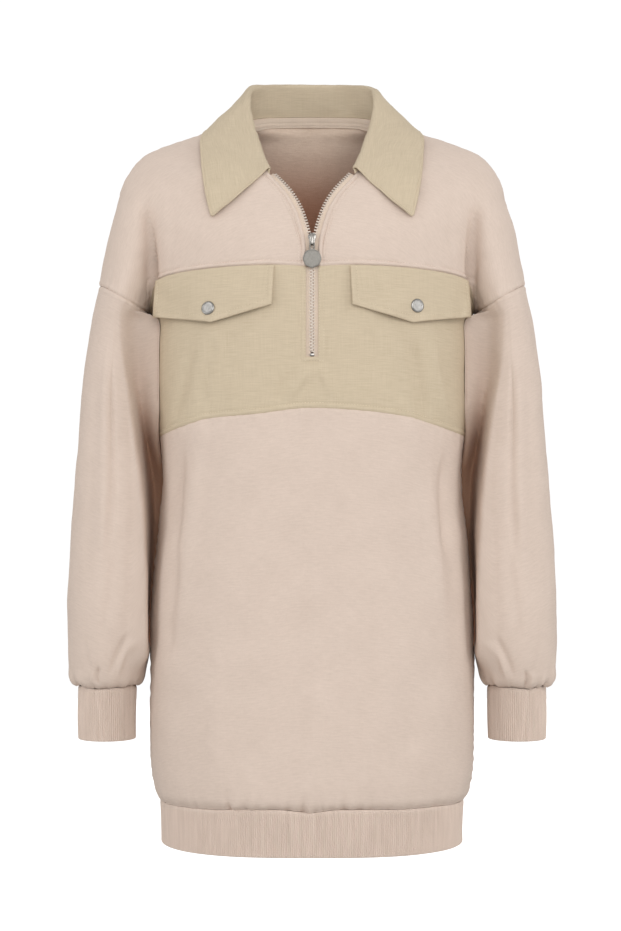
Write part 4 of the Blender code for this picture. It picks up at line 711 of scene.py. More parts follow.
def stitched_seam(points, line, seed, row=0.0050):
    """A seam with its allowance pressed under this side and stitched down a few millimetres away."""
    gap, place = near_line(points, line)
    return (profile(gap, (-0.0008, 0, 0.0008), (0.00060, 0.50 * row, 0.30 * row), (-0.00085, row, 0.0009))
            + pucker(gap, place, 0.010, 0.00030, 0.010, seed)
            + pucker(np.abs(gap - row), place, 0.0058, 0.00018, 0.0028, seed + 1))


def caught_seam(points, line, seed, rise=0.00022, reach=0.010):
    """The cloth that another piece's stitched edge lies on: a shallow dip and a few gathers."""
    gap, place = near_line(points, line)
    return profile(gap, (-0.0007, 0, 0.0016)) + pucker(gap, place, 0.012, rise, reach, seed)


def gathers(points, line, seed):
    """Fullness held in by the rib: uneven soft pleats over the seam, and the seam's own dip."""
    gap, place = near_line(points, line)
    strong = 0.75 + 0.45 * run_ripple(place, 0.085, seed)
    return (profile(gap, (-0.0016, 0, 0.0024), (0.0014, 0.0090, 0.0075))
            + strong * run_ripple(place, 0.0150, seed + 1) * profile(gap, (0.00085, 0, 0.017))
            + run_ripple(place, 0.0062, seed + 2) * profile(gap, (0.00030, 0, 0.0075)))


def body_waves(points, xz, side, stiff=1.0):
    """Creases and the slight unevenness of hanging cloth, on the front or the back."""
    fade = smoothstep(np.abs(points[..., 1]) / 0.040)
    return (crease_height(xz[..., 0], xz[..., 1], CREASES[side]) * fade
            + 0.00045 * stiff * ripple(points, 0.070, 3) + 0.00010 * ripple(points, 0.021, 5))


# ---------------------------------------------------------------- walls from fine grids
def mark(mesh, name, values):
    """A value for each point, which a finish reads."""
    mesh.attributes.new(name, "FLOAT", "POINT").data.foreach_set("value", values.astype(np.float32))


def in_scene(mesh):
    """Makes a piece of the garment from a mesh."""
    ob = bpy.data.objects.new(mesh.name, mesh)
    bpy.context.scene.collection.objects.link(ob)
    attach(ob, "garment")
    return ob


def closed_wall(name, points, faces, uv, material, lining=None, hollow=None):
    """A piece of the points that its faces use, with the faces turned outwards by the sign of the volume.
    lining is the finish and the mask of the faces on the wrong side; the last argument tells how deep each
    point lies in the crease beside the body, which darkens its colour there as painted shade."""
    keep = np.unique(faces)
    renumber = np.zeros(len(points), int)
    renumber[keep] = np.arange(len(keep))
    points, faces = points[keep], renumber[faces]
    a, b, c, d = (points[faces[:, k]] for k in range(4))
    if (np.cross(a, b) * c).sum() + (np.cross(a, c) * d).sum() < 0:
        faces = faces[:, ::-1]
    mesh = bpy.data.meshes.new(name)
    mesh.from_pydata(points.tolist(), [], faces.tolist())
    mesh.update()
    layer = mesh.uv_layers.new(name="cloth")            # in metres
    corner = np.empty(len(mesh.loops), np.int32)
    mesh.loops.foreach_get("vertex_index", corner)
    layer.data.foreach_set("uv", uv[keep][corner].astype(np.float32).ravel())
    mesh.shade_smooth()
    mesh.set_sharp_from_angle(angle=math.radians(50))
    mesh.materials.append(material)
    if lining:
        mesh.materials.append(lining[0])
        mesh.polygons.foreach_set("material_index", lining[1].astype(np.int32))
    if hollow is not None:
        mark(mesh, "hollow", hollow[keep])
    return in_scene(mesh)


def cloth_shell(name, outer, inner, material, slot_name, closed=False, skip=None, wrong_side=None,
                hollow=None):
    """A closed wall between an outer and an inner grid; skip marks cells left open, as for a slit.
    wrong_side is the finish of the cloth's inner face where it differs."""
    rows, cols = outer.shape[:2]
    if closed:                                       # repeat the first column so the UV map isn't torn
        outer, inner = (np.concatenate([grid, grid[:, :1]], axis=1) for grid in (outer, inner))
        cols += 1
    u = np.pad(np.cumsum(np.linalg.norm(np.diff(outer, axis=1), axis=2), 1), ((0, 0), (1, 0)))
    v = np.pad(np.cumsum(np.linalg.norm(np.diff(outer, axis=0), axis=2), 0), ((1, 0), (0, 0)))
    if not closed:
        u = u - u[:, [cols // 2]]
    weld = np.arange(rows * cols).reshape(rows, cols)
    if closed:
        weld[:, -1] = weld[:, 0]
    used = np.ones((rows - 1, cols - 1), bool) if skip is None else ~skip
    deep = rows * cols
    i, j = np.nonzero(used)
    out = np.stack([weld[i, j], weld[i + 1, j], weld[i + 1, j + 1], weld[i, j + 1]], 1)
    faces = [out, out[:, ::-1] + deep]
    pad = np.pad(used, 1)
    for di, dj, a, b in ((0, -1, (0, 0), (1, 0)), (1, 0, (1, 0), (1, 1)),      # walls round the open edges
                         (0, 1, (1, 1), (0, 1)), (-1, 0, (0, 1), (0, 0))):
        if closed and di == 0:
            continue
        i, j = np.nonzero(used & ~pad[1 + di:rows + di, 1 + dj:cols + dj])
        p, q = weld[i + a[0], j + a[1]], weld[i + b[0], j + b[1]]
        faces.append(np.stack([q, p, p + deep, q + deep], 1))
    faces = np.concatenate(faces)
    row = np.arange(len(faces))
    lining = wrong_side and (wrong_side, (row >= len(out)) & (row < 2 * len(out)))
    points = np.concatenate([outer.reshape(-1, 3), inner.reshape(-1, 3)])
    uv = np.concatenate([np.stack([u, v], -1).reshape(-1, 2)] * 2)
    if hollow is not None:
        hollow = np.concatenate([np.concatenate([hollow, hollow[:, :1]], axis=1).ravel()] * 2)
    return closed_wall(name, points, faces, uv, material, lining, hollow)


def laid(name, grid, normal, high, under=0.0004, wall=FLEECE, material=FLEECE_MAT, slot_name="fleece",
         wrong_side=SHADED_INSIDE_MAT, **more):
    """Cloth laid on a grid: its face follows the heights, and its wrong side those that stay below
    under."""
    return cloth_shell(name, grid + normal * high[..., None],
                       grid + normal * (np.minimum(high, under) - wall)[..., None], material, slot_name,
                       wrong_side=wrong_side, **more)


def lie_in_side_plane(points, normal, xz, *index):
    """Puts an edge of a grid in the plane y = 0, with normals square to it in the front view."""
    points[index + (1,)] = 0
    run = np.gradient(xz[index], axis=0)
    n = unit(np.stack([-run[:, 1], np.zeros(len(run)), run[:, 0]], axis=1))
    keep = np.sign(np.sum(n * normal[index], axis=1, keepdims=True))
    normal[index] = n * np.where(keep == 0, 1, keep)


# ---------------------------------------------------------------- seam lines in the front view
ALL = slice(None)
NECK_SHARE = 6 / 13          # share of the yoke's front edge that is neckline; the rest is zip edge
DROP_Z, SHOULDER_TURN_Z = -0.172, -0.05
DROP_X = float(outer_x(np.array([DROP_Z]))[0])
shoulder_z = np.concatenate([np.linspace(NECK_FRONT[0].z, SHOULDER_TURN_Z, 140, endpoint=False),
                             np.linspace(SHOULDER_TURN_Z, DROP_Z, 80)])
shoulder_xz = np.stack([outer_x(shoulder_z), shoulder_z], axis=1)
shoulder_xz[0] = NECK_FRONT[0]
neck_path, edge_path = smooth_path(NECK_FRONT), smooth_path(ZIP_EDGE)
yoke_path = smooth_path(YOKE_SEAM + [(UNDER_X, UNDER_Z)])
yoke_len = length_along(on_body(yoke_path, "front"))
first, second = np.interp([0.0235, 0.0400], yoke_path[:, 0], yoke_len) / yoke_len[-1]
COARSE_U = np.linspace(0, 1, 11)
COARSE_SHARE = np.concatenate([[0.0, first], np.linspace(second, 1.0, 9)])


def yoke_line(u):
    """Points of the yoke seam; u runs from the zip to the underarm as the columns do."""
    return at_fractions(yoke_path, np.interp(u, COARSE_U, COARSE_SHARE), on_body(yoke_path, "front"))


def armhole(turned):
    """Points of the armhole in the front view, from the drop shoulder (0) to the underarm (pi)."""
    return np.stack([(DROP_X + UNDER_X) / 2 + (DROP_X - UNDER_X) / 2 * np.cos(turned),
                     (DROP_Z + UNDER_Z) / 2 + (DROP_Z - UNDER_Z) / 2 * np.cos(turned)], axis=1)


def front_edge(s):
    """The yoke's neckline and then its zip edge."""
    neck, beside_zip = s[s <= NECK_SHARE] / NECK_SHARE, (s[s > NECK_SHARE] - NECK_SHARE) / (1 - NECK_SHARE)
    return np.vstack([at_fractions(path, share, on_body(path, "front"))
                      for path, share in ((neck_path, neck), (edge_path, beside_zip))])


def patch(top, bottom, left, right, steps, u, near_edge):
    """A grid of (x, z) between four edge lines; rows crowd at the top, and at both ends beside an
    armhole, where near_edge is 1."""
    a = lerp((1 - np.cos(math.pi / 2 * steps))[:, None], ((1 - np.cos(math.pi * steps)) / 2)[:, None],
             near_edge[None, :])[..., None]
    b = u[None, :, None]
    corners = lerp(lerp(top[0], top[-1], b), lerp(bottom[0], bottom[-1], b), a)
    return lerp(top[None], bottom[None], a) + lerp(left[:, None], right[:, None], b) - corners


# ---------------------------------------------------------------- front yokes
near_low = 2 / math.pi * np.arccos(EDGE_STEPS[::-1] / 0.170)
neck_rows = 30                                        # rows that end on the neckline
yoke_s = np.concatenate([np.linspace(0, NECK_SHARE, neck_rows + 1),
                         np.linspace(NECK_SHARE, near_low[0], 38)[1:], near_low[1:], [1.0]])
yoke_u = spacing(0.185)
extra = (yoke_u[1:] + yoke_u[:-1])[(yoke_u[1:] > 0.76) & (yoke_u[:-1] < 0.975)] / 2
yoke_u = np.sort(np.concatenate([yoke_u, extra]))       # finer where the armhole folds
yoke_xz = patch(at_fractions(shoulder_xz, yoke_u), yoke_line(yoke_u), front_edge(yoke_s),
                armhole(math.pi * yoke_s), yoke_s, yoke_u, yoke_u ** 4)
yoke, yoke_n = on_body(yoke_xz, "front"), body_normal(yoke_xz, "front")
lie_in_side_plane(yoke, yoke_n, yoke_xz, 0, ALL)
yoke[-1, -1, 1] = 0
yoke_n[-1, -1] = (0, 0, -1)
YOKE_ROW, CHEST_ROW, BOX_ROW = 0.0050, 0.0056, 0.0061  # stitching, from the edge it follows
FOLD_ROWS = (0.0049, 0.0080)
YOKE = {}


def edge_fold(points, line):
    """The fleece edge beside the zip: a folded ridge and two rows of stitches."""
    gap, place = near_line(points, line)
    return (profile(gap, (0.0011, 0.0023, 0.0018), (-0.0012, 0, 0.0007), (-0.00090, FOLD_ROWS[0], 0.0008),
                    (0.00045, 0.0064, 0.0009), (-0.00080, FOLD_ROWS[1], 0.0009))
            + pucker(gap, place, 0.0085, 0.00032, 0.011, 41))


for tag, sign in SIDES:
    grid, normal, xz = yoke * (sign, 1, 1), yoke_n * (sign, 1, 1), yoke_xz * (sign, 1)
    waves = body_waves(grid, xz, "front")
    high = (waves + stitched_seam(grid, grid[-1], 11 + sign) + plain_seam(grid, grid[:, -1], 21 + sign)
            + plain_seam(grid, grid[0], 31 + sign, 0.0006) + edge_fold(grid, grid[neck_rows:, 0]))
    cut = laid(f"front_yoke_cloth_{tag}", grid, normal, high, waves * 0.8)
    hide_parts(f"front_yoke_{tag}")
    YOKE[tag] = (grid, normal, high)

# ---------------------------------------------------------------- chest panel with the zip slot
CHEST_LOW = -0.340
low_x = side_x(np.array([CHEST_LOW]))[0]
low_path = np.stack([np.linspace(ZIP_SLOT, low_x, 400), np.zeros(400)], axis=1)
low_path[:, 1] = chest_seam(low_path[:, 0] / low_x)
low_path_3d = on_body(low_path, "front")
seam_top = YOKE_SEAM[0].z
slot_share = (ZIP_END_Z - seam_top) / (chest_seam(0.0) - seam_top)


def chest_xz(u, v, sign):
    """Points of the chest panel: u from the slot outwards, v from the yoke seam down."""
    top = yoke_line(u)
    top_share = (top[:, 0] - ZIP_SLOT) / (UNDER_X - ZIP_SLOT)
    low = at_fractions(low_path, np.interp(u, COARSE_U, COARSE_SHARE), low_path_3d)
    low_share = (low[:, 0] - ZIP_SLOT) / (low_x - ZIP_SLOT)
    x = ZIP_SLOT + (side_x(lerp(UNDER_Z, CHEST_LOW, v)) - ZIP_SLOT) * lerp(top_share, low_share, v)
    z = lerp(top[:, 1], chest_seam(sign * low[:, 0] / low_x), v)
    return np.stack([x * sign, z], axis=-1)


chest_u = spacing(0.185)
chest_v = np.concatenate([spacing(0.097, 0.0030, True, False) * slot_share,
                          slot_share + (1 - slot_share) * spacing(0.055, 0.0030, False, True)[1:]])
slot_rows = int(np.argmin(np.abs(chest_v - slot_share)))
slot_col = len(chest_u) - 1
chest_xz_all = np.concatenate([chest_xz(chest_u, chest_v[:, None], -1)[:, ::-1],
                               chest_xz(chest_u, chest_v[:, None], 1)], axis=1)
for col in (slot_col, slot_col + 1):                  # the slot's edges are straight
    chest_xz_all[:slot_rows + 1, col, 1] = lerp(seam_top, ZIP_END_Z, chest_v[:slot_rows + 1] / slot_share)
chest, chest_n = on_body(chest_xz_all, "front"), body_normal(chest_xz_all, "front")
for col, sign in ((0, -1), (-1, 1)):
    lie_in_side_plane(chest, chest_n, chest_xz_all, ALL, col)
    chest_n[0, col] = unit(np.array((sign * 0.35, 0.0, -0.94)))
slit = np.zeros((chest.shape[0] - 1, chest.shape[1] - 1), bool)
slit[:slot_rows, slot_col] = True
slot_box = np.concatenate([chest[:slot_rows + 1, slot_col], chest[[slot_rows], slot_col + 1],
                           chest[:slot_rows, slot_col + 1][::-1]])


def chest_height(points, xz):
    high = body_waves(points, xz, "front", 0.8) + caught_seam(points, chest[0], 51)
    high += stitched_seam(points, chest[-1], 55, CHEST_ROW) * 0.75
    for col in (0, -1):
        high += plain_seam(points, chest[:, col], 57 + col, 0.0007)
    gap, place = near_line(points, slot_box)
    return (high + profile(gap, (-0.0005, 0, 0.0006), (0.0004, 0.0030, 0.0018), (-0.0004, BOX_ROW, 0.0008))
            + pucker(gap, place, 0.009, 0.00018, 0.010, 61))


chest_high = chest_height(chest, chest_xz_all)
cut = laid("chest_panel_cloth", chest, chest_n, chest_high, 0.0002, TWILL, TWILL_MAT, "twill", None,
           skip=slit)
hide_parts("chest_panel")

# ---------------------------------------------------------------- front lower body
HEM_LINE = -0.7430
lower_v = spacing(0.415)
low_end = at_fractions(low_path, spacing(0.210), low_path_3d)[:, 0] / low_x
middle = np.linspace(-ZIP_SLOT / low_x, ZIP_SLOT / low_x, 5)[1:-1]      # below the slot
lower_share = np.concatenate([-low_end[::-1], middle, low_end])
lower_xz = np.stack([side_x(lerp(CHEST_LOW, HEM_LINE, lower_v))[:, None] * lower_share,
                     lerp(chest_seam(lower_share), hem_seam(lower_share), lower_v[:, None])], -1)
lower, lower_n = on_body(lower_xz, "front"), body_normal(lower_xz, "front")
for col in (0, -1):
    lie_in_side_plane(lower, lower_n, lower_xz, ALL, col)
high = body_waves(lower, lower_xz, "front") + caught_seam(lower, lower[0], 65, 0.00028, 0.012)
for col in (0, -1):
    high += plain_seam(lower, lower[:, col], 67 + col, 0.0008)
high += gathers(lower, lower[-1], 71)
cut = laid("front_lower_cloth", lower, lower_n, high)
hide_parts("front_lower")

# ---------------------------------------------------------------- back
neck_back_path = smooth_path(NECK_BACK)
neck_u = np.linspace(0, 1, 25)
neck_half = at_fractions(neck_back_path, neck_u, on_body(neck_back_path, "back"))
shoulder_u = spacing(0.200)
back_shoulder = at_fractions(shoulder_xz, shoulder_u)
top_line = np.vstack([back_shoulder[::-1] * (-1, 1), (neck_half * (-1, 1))[1:-1], neck_half[::-1],
                      back_shoulder[1:]])
base_path = np.stack([np.linspace(0, UNDER_X, 300), np.full(300, UNDER_Z)], axis=1)
INNER_SHARE = 0.30           # of the half back's width, below the neckline
share = np.concatenate([np.linspace(0, INNER_SHARE, len(neck_u)), lerp(INNER_SHARE, 1, shoulder_u[1:])])
base_half = at_fractions(base_path, share, on_body(base_path, "back"))
base_line = np.vstack([base_half[:0:-1] * (-1, 1), base_half])
back_u = (base_line[:, 0] / UNDER_X + 1) / 2
arm_steps = np.linspace(0, 1, 66)
arm_rows = len(arm_steps) - 1
hole_line = armhole(math.pi * arm_steps)
back_z = lerp(UNDER_Z, HEM_LINE, spacing(0.540, 0.0034, False, True)[1:])[:, None]
back_top = patch(top_line, base_line, hole_line * (-1, 1), hole_line, arm_steps, back_u,
                 np.abs(2 * back_u - 1) ** 4)
back_low = np.stack(np.broadcast_arrays(side_x(back_z) * base_line[:, 0] / UNDER_X, back_z), -1)
back_xz = np.concatenate([back_top, back_low])
back, back_n = on_body(back_xz, "back"), body_normal(back_xz, "back")
for _ in range(3):                                   # soften the normals in the crease under the arm
    soft = back_n.copy()
    soft[1:-1, 1:-1] += 0.5 * (back_n[:-2, 1:-1] + back_n[2:, 1:-1] + back_n[1:-1, :-2] + back_n[1:-1, 2:])
    back_n[1:arm_rows + 1] = unit(soft[1:arm_rows + 1])
neck_from, neck_to = len(shoulder_u) - 1, len(top_line) - len(shoulder_u)
for cols in (slice(0, neck_from + 1), slice(neck_to, None)):
    lie_in_side_plane(back, back_n, back_xz, 0, cols)
for col in (0, -1):
    lie_in_side_plane(back, back_n, back_xz, slice(arm_rows, None), col)
    back_n[arm_rows, col] = (0, 0, -1)
high = body_waves(back, back_xz, "back")
for col in (0, -1):
    high += plain_seam(back, back[:arm_rows + 1, col], 77 + col)
    high += plain_seam(back, back[arm_rows:, col], 81 + col, 0.0008)
for cols in (slice(0, neck_from + 1), slice(neck_to, None)):
    high += plain_seam(back, back[0, cols], 85, 0.0006)
high += gathers(back, back[-1], 91)
cut = laid("back_cloth", back, back_n, high)
tops = np.empty(len(cut.data.vertices) * 3, np.float32)
cut.data.vertices.foreach_get("co", tops)
mark(cut.data, "painted_neck_light", smoothstep((tops[2::3] + 0.085) / 0.100))     # painted light: the inside is lighter near the neck, where light comes in, and keeps its painted shade lower down
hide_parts("back")

# ---------------------------------------------------------------- sleeves
RING_STEPS = 176
CUFF_TOP = -0.6163
# turn round the sleeve: outside, front, inside, back; closer steps where the front folds back
fine_deg = np.linspace(0, 180, 721)
crowd = np.append(0, np.cumsum(1 + profile(fine_deg[1:], (2.4, 131, 21))))
half_turn = np.radians(np.interp(np.linspace(0, crowd[-1], RING_STEPS // 2 + 1), crowd, fine_deg))
ring_turn = np.append(half_turn[:-1], np.linspace(math.pi, 2 * math.pi, RING_STEPS // 2, endpoint=False))
cos_t, sin_t = np.cos(ring_turn), np.sin(ring_turn)
hole_xz = armhole(ring_turn)
hole = np.where((ring_turn <= math.pi)[:, None], on_body(hole_xz, "front"), on_body(hole_xz, "back"))
hole[[0, RING_STEPS // 2], 1] = 0
down = unit(np.array((DROP_Z - UNDER_Z, 0.0, UNDER_X - DROP_X)))


def sleeve_ring(r, swing):
    """One ring of the sleeve, seen from above an oval that may lean outwards in front."""
    x = lerp(r.in_x, r.out_x, (1 + cos_t) / 2)
    x = x + r.lean * np.clip(sin_t, 0, 1) * (0.35 + np.clip(-cos_t, 0, 1) ** 0.5)
    y = -np.where(sin_t > 0, r.front, r.back) * sin_t
    return np.stack([x, y - swing, lerp(r.in_z, r.out_z, (1 + cos_t) / 2)], axis=1)


rings = [hole + down * (SEAM * 0.9)]
for k, r in enumerate(SLEEVE):
    ring = sleeve_ring(r, ARM_SWING * smoothstep((-0.20 - r.in_z) / 0.41))
    if k < 2:                                        # the first rings keep the armhole's own depths
        ring[:, 1] = lerp(ring[:, 1], hole[:, 1], 0.75 if k == 0 else 0.30)
    rings.append(ring)
rings = np.stack(rings)
ring_s = length_along(rings.mean(1))


def through(knots, values, want):
    """A smooth curve through arrays of points at uneven knots."""
    step = np.diff(knots)[:, None, None]
    slope = np.diff(values, axis=0) / step
    tangent = np.concatenate([slope[:1], (slope[:-1] * step[1:] + slope[1:] * step[:-1])
                              / (step[1:] + step[:-1]), slope[-1:]])
    i = np.clip(np.searchsorted(knots, want) - 1, 0, len(knots) - 2)
    return hermite((want - knots[i])[:, None, None] / step[i], values[i], step[i] * tangent[i],
                   values[i + 1], step[i] * tangent[i + 1])


def cuff_wave(turned):
    """The cuff's seam rises and falls a little round the wrist."""
    return 0.0009 * np.sin(3 * turned + 0.6) + 0.0005 * np.sin(7 * turned + 2.0)


def looped(ring):
    """A ring with its first point again at the end."""
    return np.vstack([ring, ring[:1]])


def turned_out(way, points):
    """Unit directions at the points of closed rings, turned outwards."""
    out = unit(way)
    return out if np.sum(out * (points - points.mean(axis=-2, keepdims=True))) > 0 else -out


def torso_edge(y, z):
    """Half width of the torso below the underarm, at a depth y."""
    deep = np.where(y < 0, depth_of["front"](z), depth_of["back"](z))
    return half_width(z) * np.maximum(1 - (y / deep) ** 2, 0) ** (1 / square(z))


rings[-1][:, 2] = CUFF_TOP + cuff_wave(ring_turn)
sleeve = through(ring_s, rings, spacing(ring_s[-1], 0.0030) * ring_s[-1])

# under the arm the sleeve's inner side lies close along the body.  Beside the body its flat front ends
# at an edge, drops back into a crease, and comes forward again to a shelf that touches the body:
# where that edge is, how far it takes to drop, and how deep the crease and the shelf lie
CLEFT = table("z edge drop floor shelf",
    (-0.215, 0.2100, 0.0200, -0.0460, -0.0460),
    (-0.250, 0.2080, 0.0170, -0.0400, -0.0410),
    (-0.278, 0.2040, 0.0120, -0.0340, -0.0400),
    (-0.305, 0.1975, 0.0095, -0.0240, -0.0370),
    (-0.330, 0.1930, 0.0080, -0.0080, -0.0260),
    (-0.355, 0.1895, 0.0080, 0.0100, -0.0080),
    (-0.400, 0.1838, 0.0075, 0.0200, 0.0160),
    (-0.450, 0.1800, 0.0065, 0.0160, 0.0200),
    (-0.500, 0.1780, 0.0050, 0.0000, 0.0100),
    (-0.560, 0.1780, 0.0040, -0.0200, -0.0100),
    (-0.610, 0.1800, 0.0040, -0.0500, -0.0450))
SIDE_CLEAR = 0.0004          # between the sleeve and the body
FLANK_Y = -0.038             # depth on the body's side where the sleeve's front would meet it
FLAT_TURN, RUN_TURN, BACK_TURN, INNER_END = 95, 142, 216, 262      # degrees round the sleeve
sleeve_z = sleeve[..., 2]
edge_x, drop_x, floor_y, shelf_y = (monotone(CLEFT, k)(sleeve_z) for k in CLEFT[0]._fields[1:])
turn_deg = np.degrees(ring_turn)[None]
high_up = smoothstep((sleeve_z + 0.345) / 0.05)
inner_side = window(turn_deg, lerp(122, 124, high_up), lerp(26, 13, high_up), INNER_END, 40)
level = window(sleeve_z, -0.612, 0.050, UNDER_Z + 0.001, 0.007)


def depth_at(turned):
    """Depths down one column of the sleeve."""
    return sleeve[:, [np.argmin(np.abs(turn_deg - turned))], 1]


def beside_body(y):
    """How far x must move for the inner side of the sleeve to touch the body at this depth."""
    reach = sleeve[..., 0] - (torso_edge(y, sleeve_z) + SIDE_CLEAR)
    return np.maximum(reach, 0) * inner_side * level


flatter = 0.5 * level * window(turn_deg, FLAT_TURN, 6, 170, 50)
sleeve[..., 1] -= (sleeve[..., 1] - depth_at(FLAT_TURN)) * flatter
near_x = sleeve[..., 0] - beside_body(np.minimum(sleeve[..., 1], FLANK_Y))
fold = smoothstep((edge_x - near_x) / drop_x)
body_x = torso_edge(np.full_like(edge_x, FLANK_Y), sleeve_z) + SIDE_CLEAR
back_share = smoothstep((edge_x - drop_x - near_x) / np.maximum(edge_x - drop_x - body_x, 0.002))
front_part = level * smoothstep((turn_deg - FLAT_TURN - 1) / 8) * (turn_deg < BACK_TURN)
past = np.clip((turn_deg - RUN_TURN) / (BACK_TURN - RUN_TURN), 0, 1)     # the cloth runs on to the back
deeper = lerp(lerp(sleeve[..., 1], lerp(floor_y, shelf_y, back_share), fold), depth_at(BACK_TURN), past)
sleeve[..., 1] = lerp(sleeve[..., 1], deeper, front_part)
sleeve[..., 0] -= beside_body(sleeve[..., 1])
# painted shade: how deep the sleeve's front lies in the crease beside the body, which darkens the fleece's
# colour there
hollow_depth = front_part * fold * (1 - past) * np.clip((sleeve[..., 1] + 0.045) / 0.050, 0, 1)
soft_round = (level * window(turn_deg, 100, 15, INNER_END, 40))[..., None]
soft_along = (level * smoothstep((turn_deg - 100) / 15) * (turn_deg < 170))[1:-1, :, None]
for _ in range(3):
    beside = 0.25 * (np.roll(sleeve, 1, 1) + np.roll(sleeve, -1, 1))
    sleeve = lerp(sleeve, 0.5 * sleeve + beside, soft_round)
    along = 0.5 * sleeve[1:-1] + 0.25 * (sleeve[2:] + sleeve[:-2])
    sleeve[1:-1] = lerp(sleeve[1:-1], along, soft_along)
sleeve_n = turned_out(np.cross(np.roll(sleeve, -1, axis=1) - np.roll(sleeve, 1, axis=1),
                               np.gradient(sleeve, axis=0)), sleeve)
for _ in range(2):
    sleeve_n = unit(sleeve_n + 0.5 * (np.roll(sleeve_n, 1, 1) + np.roll(sleeve_n, -1, 1)))
roll_x = np.broadcast_to(turn_deg * AROUND, sleeve.shape[:2])
quiet = 1 - 0.85 * inner_side                            # the side against the body
for tag, sign in SIDES:
    grid, normal = sleeve * (sign, 1, 1), sleeve_n * (sign, 1, 1)
    high = crease_height(roll_x, grid[..., 2] + (0.004 if sign > 0 else 0), CREASES["sleeve"], 360 * AROUND)
    high += 0.00045 * ripple(grid, 0.065, 101 + sign) + 0.00010 * ripple(grid, 0.020, 103 + sign)
    high = high * quiet + plain_seam(grid, looped(grid[0]), 105 + sign)
    high += gathers(grid, looped(grid[-1]), 107 + 5 * sign)
    cut = laid(f"sleeve_cloth_{tag}", grid, normal, high, closed=True, hollow=hollow_depth)
    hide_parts(f"sleeve_{tag}")

# ---------------------------------------------------------------- rib bands
RIB_PLACES = (0.0, 0.30, 0.50, 0.70)                 # points of one rib: crest, side, valley, side
RIB_HEIGHTS = (0.0, -0.45, -1.0, -0.45)
RIB_DEEP = 0.0009                                    # crest over valley, as knitted


def ring_out(ring, reach):
    """Level directions square to the run of a closed ring, outwards."""
    run = np.roll(ring, -reach, axis=0) - np.roll(ring, reach, axis=0)
    return turned_out(np.cross(run, (0, 0, 1.0)), ring)


def grown(ring, amount):
    """A dense ring moved out (or in) square to its own run."""
    return ring + ring_out(ring, 6) * amount


def rib_band(name, levels, ribs, seed, node, sign=1):
    """A folded band of knit ribs: outer face down, round the fold, and a little way up inside.
    Levels are (ring, rib height): dense closed rings in order."""
    place = (np.arange(ribs)[:, None] + RIB_PLACES).ravel() / ribs
    wave = np.tile(RIB_HEIGHTS, ribs)
    turned = place * 2 * math.pi
    grid = []
    for ring, rise in levels:
        about = np.stack([np.cos(turned) * 0.15, np.sin(turned) * 0.15, 0 * turned + ring[0, 2]], -1)
        loop = looped(ring)
        sway = 0.00012 * ripple(about, 0.020, seed) / length_along(loop)[-1]
        points = at_fractions(loop, np.clip(place + sway, 0, 1))
        grid.append(looped(points + ring_out(points, 4) * (wave * rise)[:, None]))
    grid = np.stack(grid) * (sign, 1, 1)
    rows, cols = grid.shape[:2]
    weld = np.arange(rows * cols).reshape(rows, cols)
    weld[:, -1] = weld[:, 0]
    i, j = np.indices((rows, cols - 1)).reshape(2, -1)
    below = (i + 1) % rows                             # the section is closed: outer, fold, inner, seam
    faces = np.stack([weld[i, j], weld[below, j], weld[below, j + 1], weld[i, j + 1]], 1)
    u, v = np.append(place, 1.0) * ribs * RIB_PITCH, length_along(grid[:, 0])
    uv = np.stack(np.broadcast_arrays(u, v[:, None]), -1).reshape(-1, 2)
    ob = closed_wall(name, grid.reshape(-1, 3), faces, uv, RIB_MAT)
    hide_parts(node)


def band_levels(top, low, seed, rows=17, flare=0.0):
    """Rings of a band from its seam down, round the fold at the bottom and up inside."""
    flange, flange_up = 0.0042, np.array((0, 0, 0.0045))  # sewn up inside the cloth above
    levels = [(grown(top, -flange) + flange_up, 0.0), (grown(top, -flange), 0.0)]
    for f in np.append((0, 0.012, 0.035, 0.07, 0.11), np.linspace(0.16, 0.985, rows)):
        ring = lerp(top, low, f)
        wobble = 0.0009 * ripple(ring * (1, 1, 0.35), 0.075, seed) * math.sin(math.pi * (0.15 + 0.8 * f))
        ring = ring + unit(ring - ring.mean(axis=0)) * (1, 1, 0) * wobble[:, None]
        ring = grown(ring, -0.0012 * math.exp(-f / 0.025) + flare * math.exp(-(f / 0.25) ** 2))
        levels.append((ring, RIB_DEEP * (0.35 + 0.65 * smoothstep(f / 0.10))))
    last, round_fold = levels[-1][0], RIB_CLOTH / 2
    for turned in (35, 70, 110, 145, 180):               # the fold at the bottom edge
        a = math.radians(turned)
        ring = grown(last, -round_fold * (1 - math.cos(a))) - (0, 0, round_fold * math.sin(a))
        levels.append((ring, RIB_DEEP * (1 - 0.9 * turned / 180)))
    deep, inside = levels[-1][0], grown(top, -flange - 0.0012) + flange_up
    return levels + [(lerp(deep, inside, f), 0.0) for f in (0.25, 0.6, 0.985)]


def oval(cx, half_x, deep, z):
    """A level ring at the wrist."""
    return np.stack([cx + half_x * np.cos(dense), -ARM_SWING - deep * np.sin(dense), z + 0 * dense], axis=1)


CUFF_RIBS = 88
dense = np.linspace(0, 2 * math.pi, 720, endpoint=False)
cuff_top = oval(0.2275, 0.0335, 0.0365, CUFF_TOP)
cuff_low = oval(0.2280, 0.0320, 0.0345, CUFF_TOP - CUFF_LEN)
cuff_top[:, 2] += cuff_wave(dense)
for tag, sign in SIDES:
    levels = band_levels(cuff_top, cuff_low, 123 + (sign < 0), 17, -0.0004)
    rib_band(f"cuff_knit_{tag}", levels, CUFF_RIBS, 125, f"cuff_{tag}", sign)

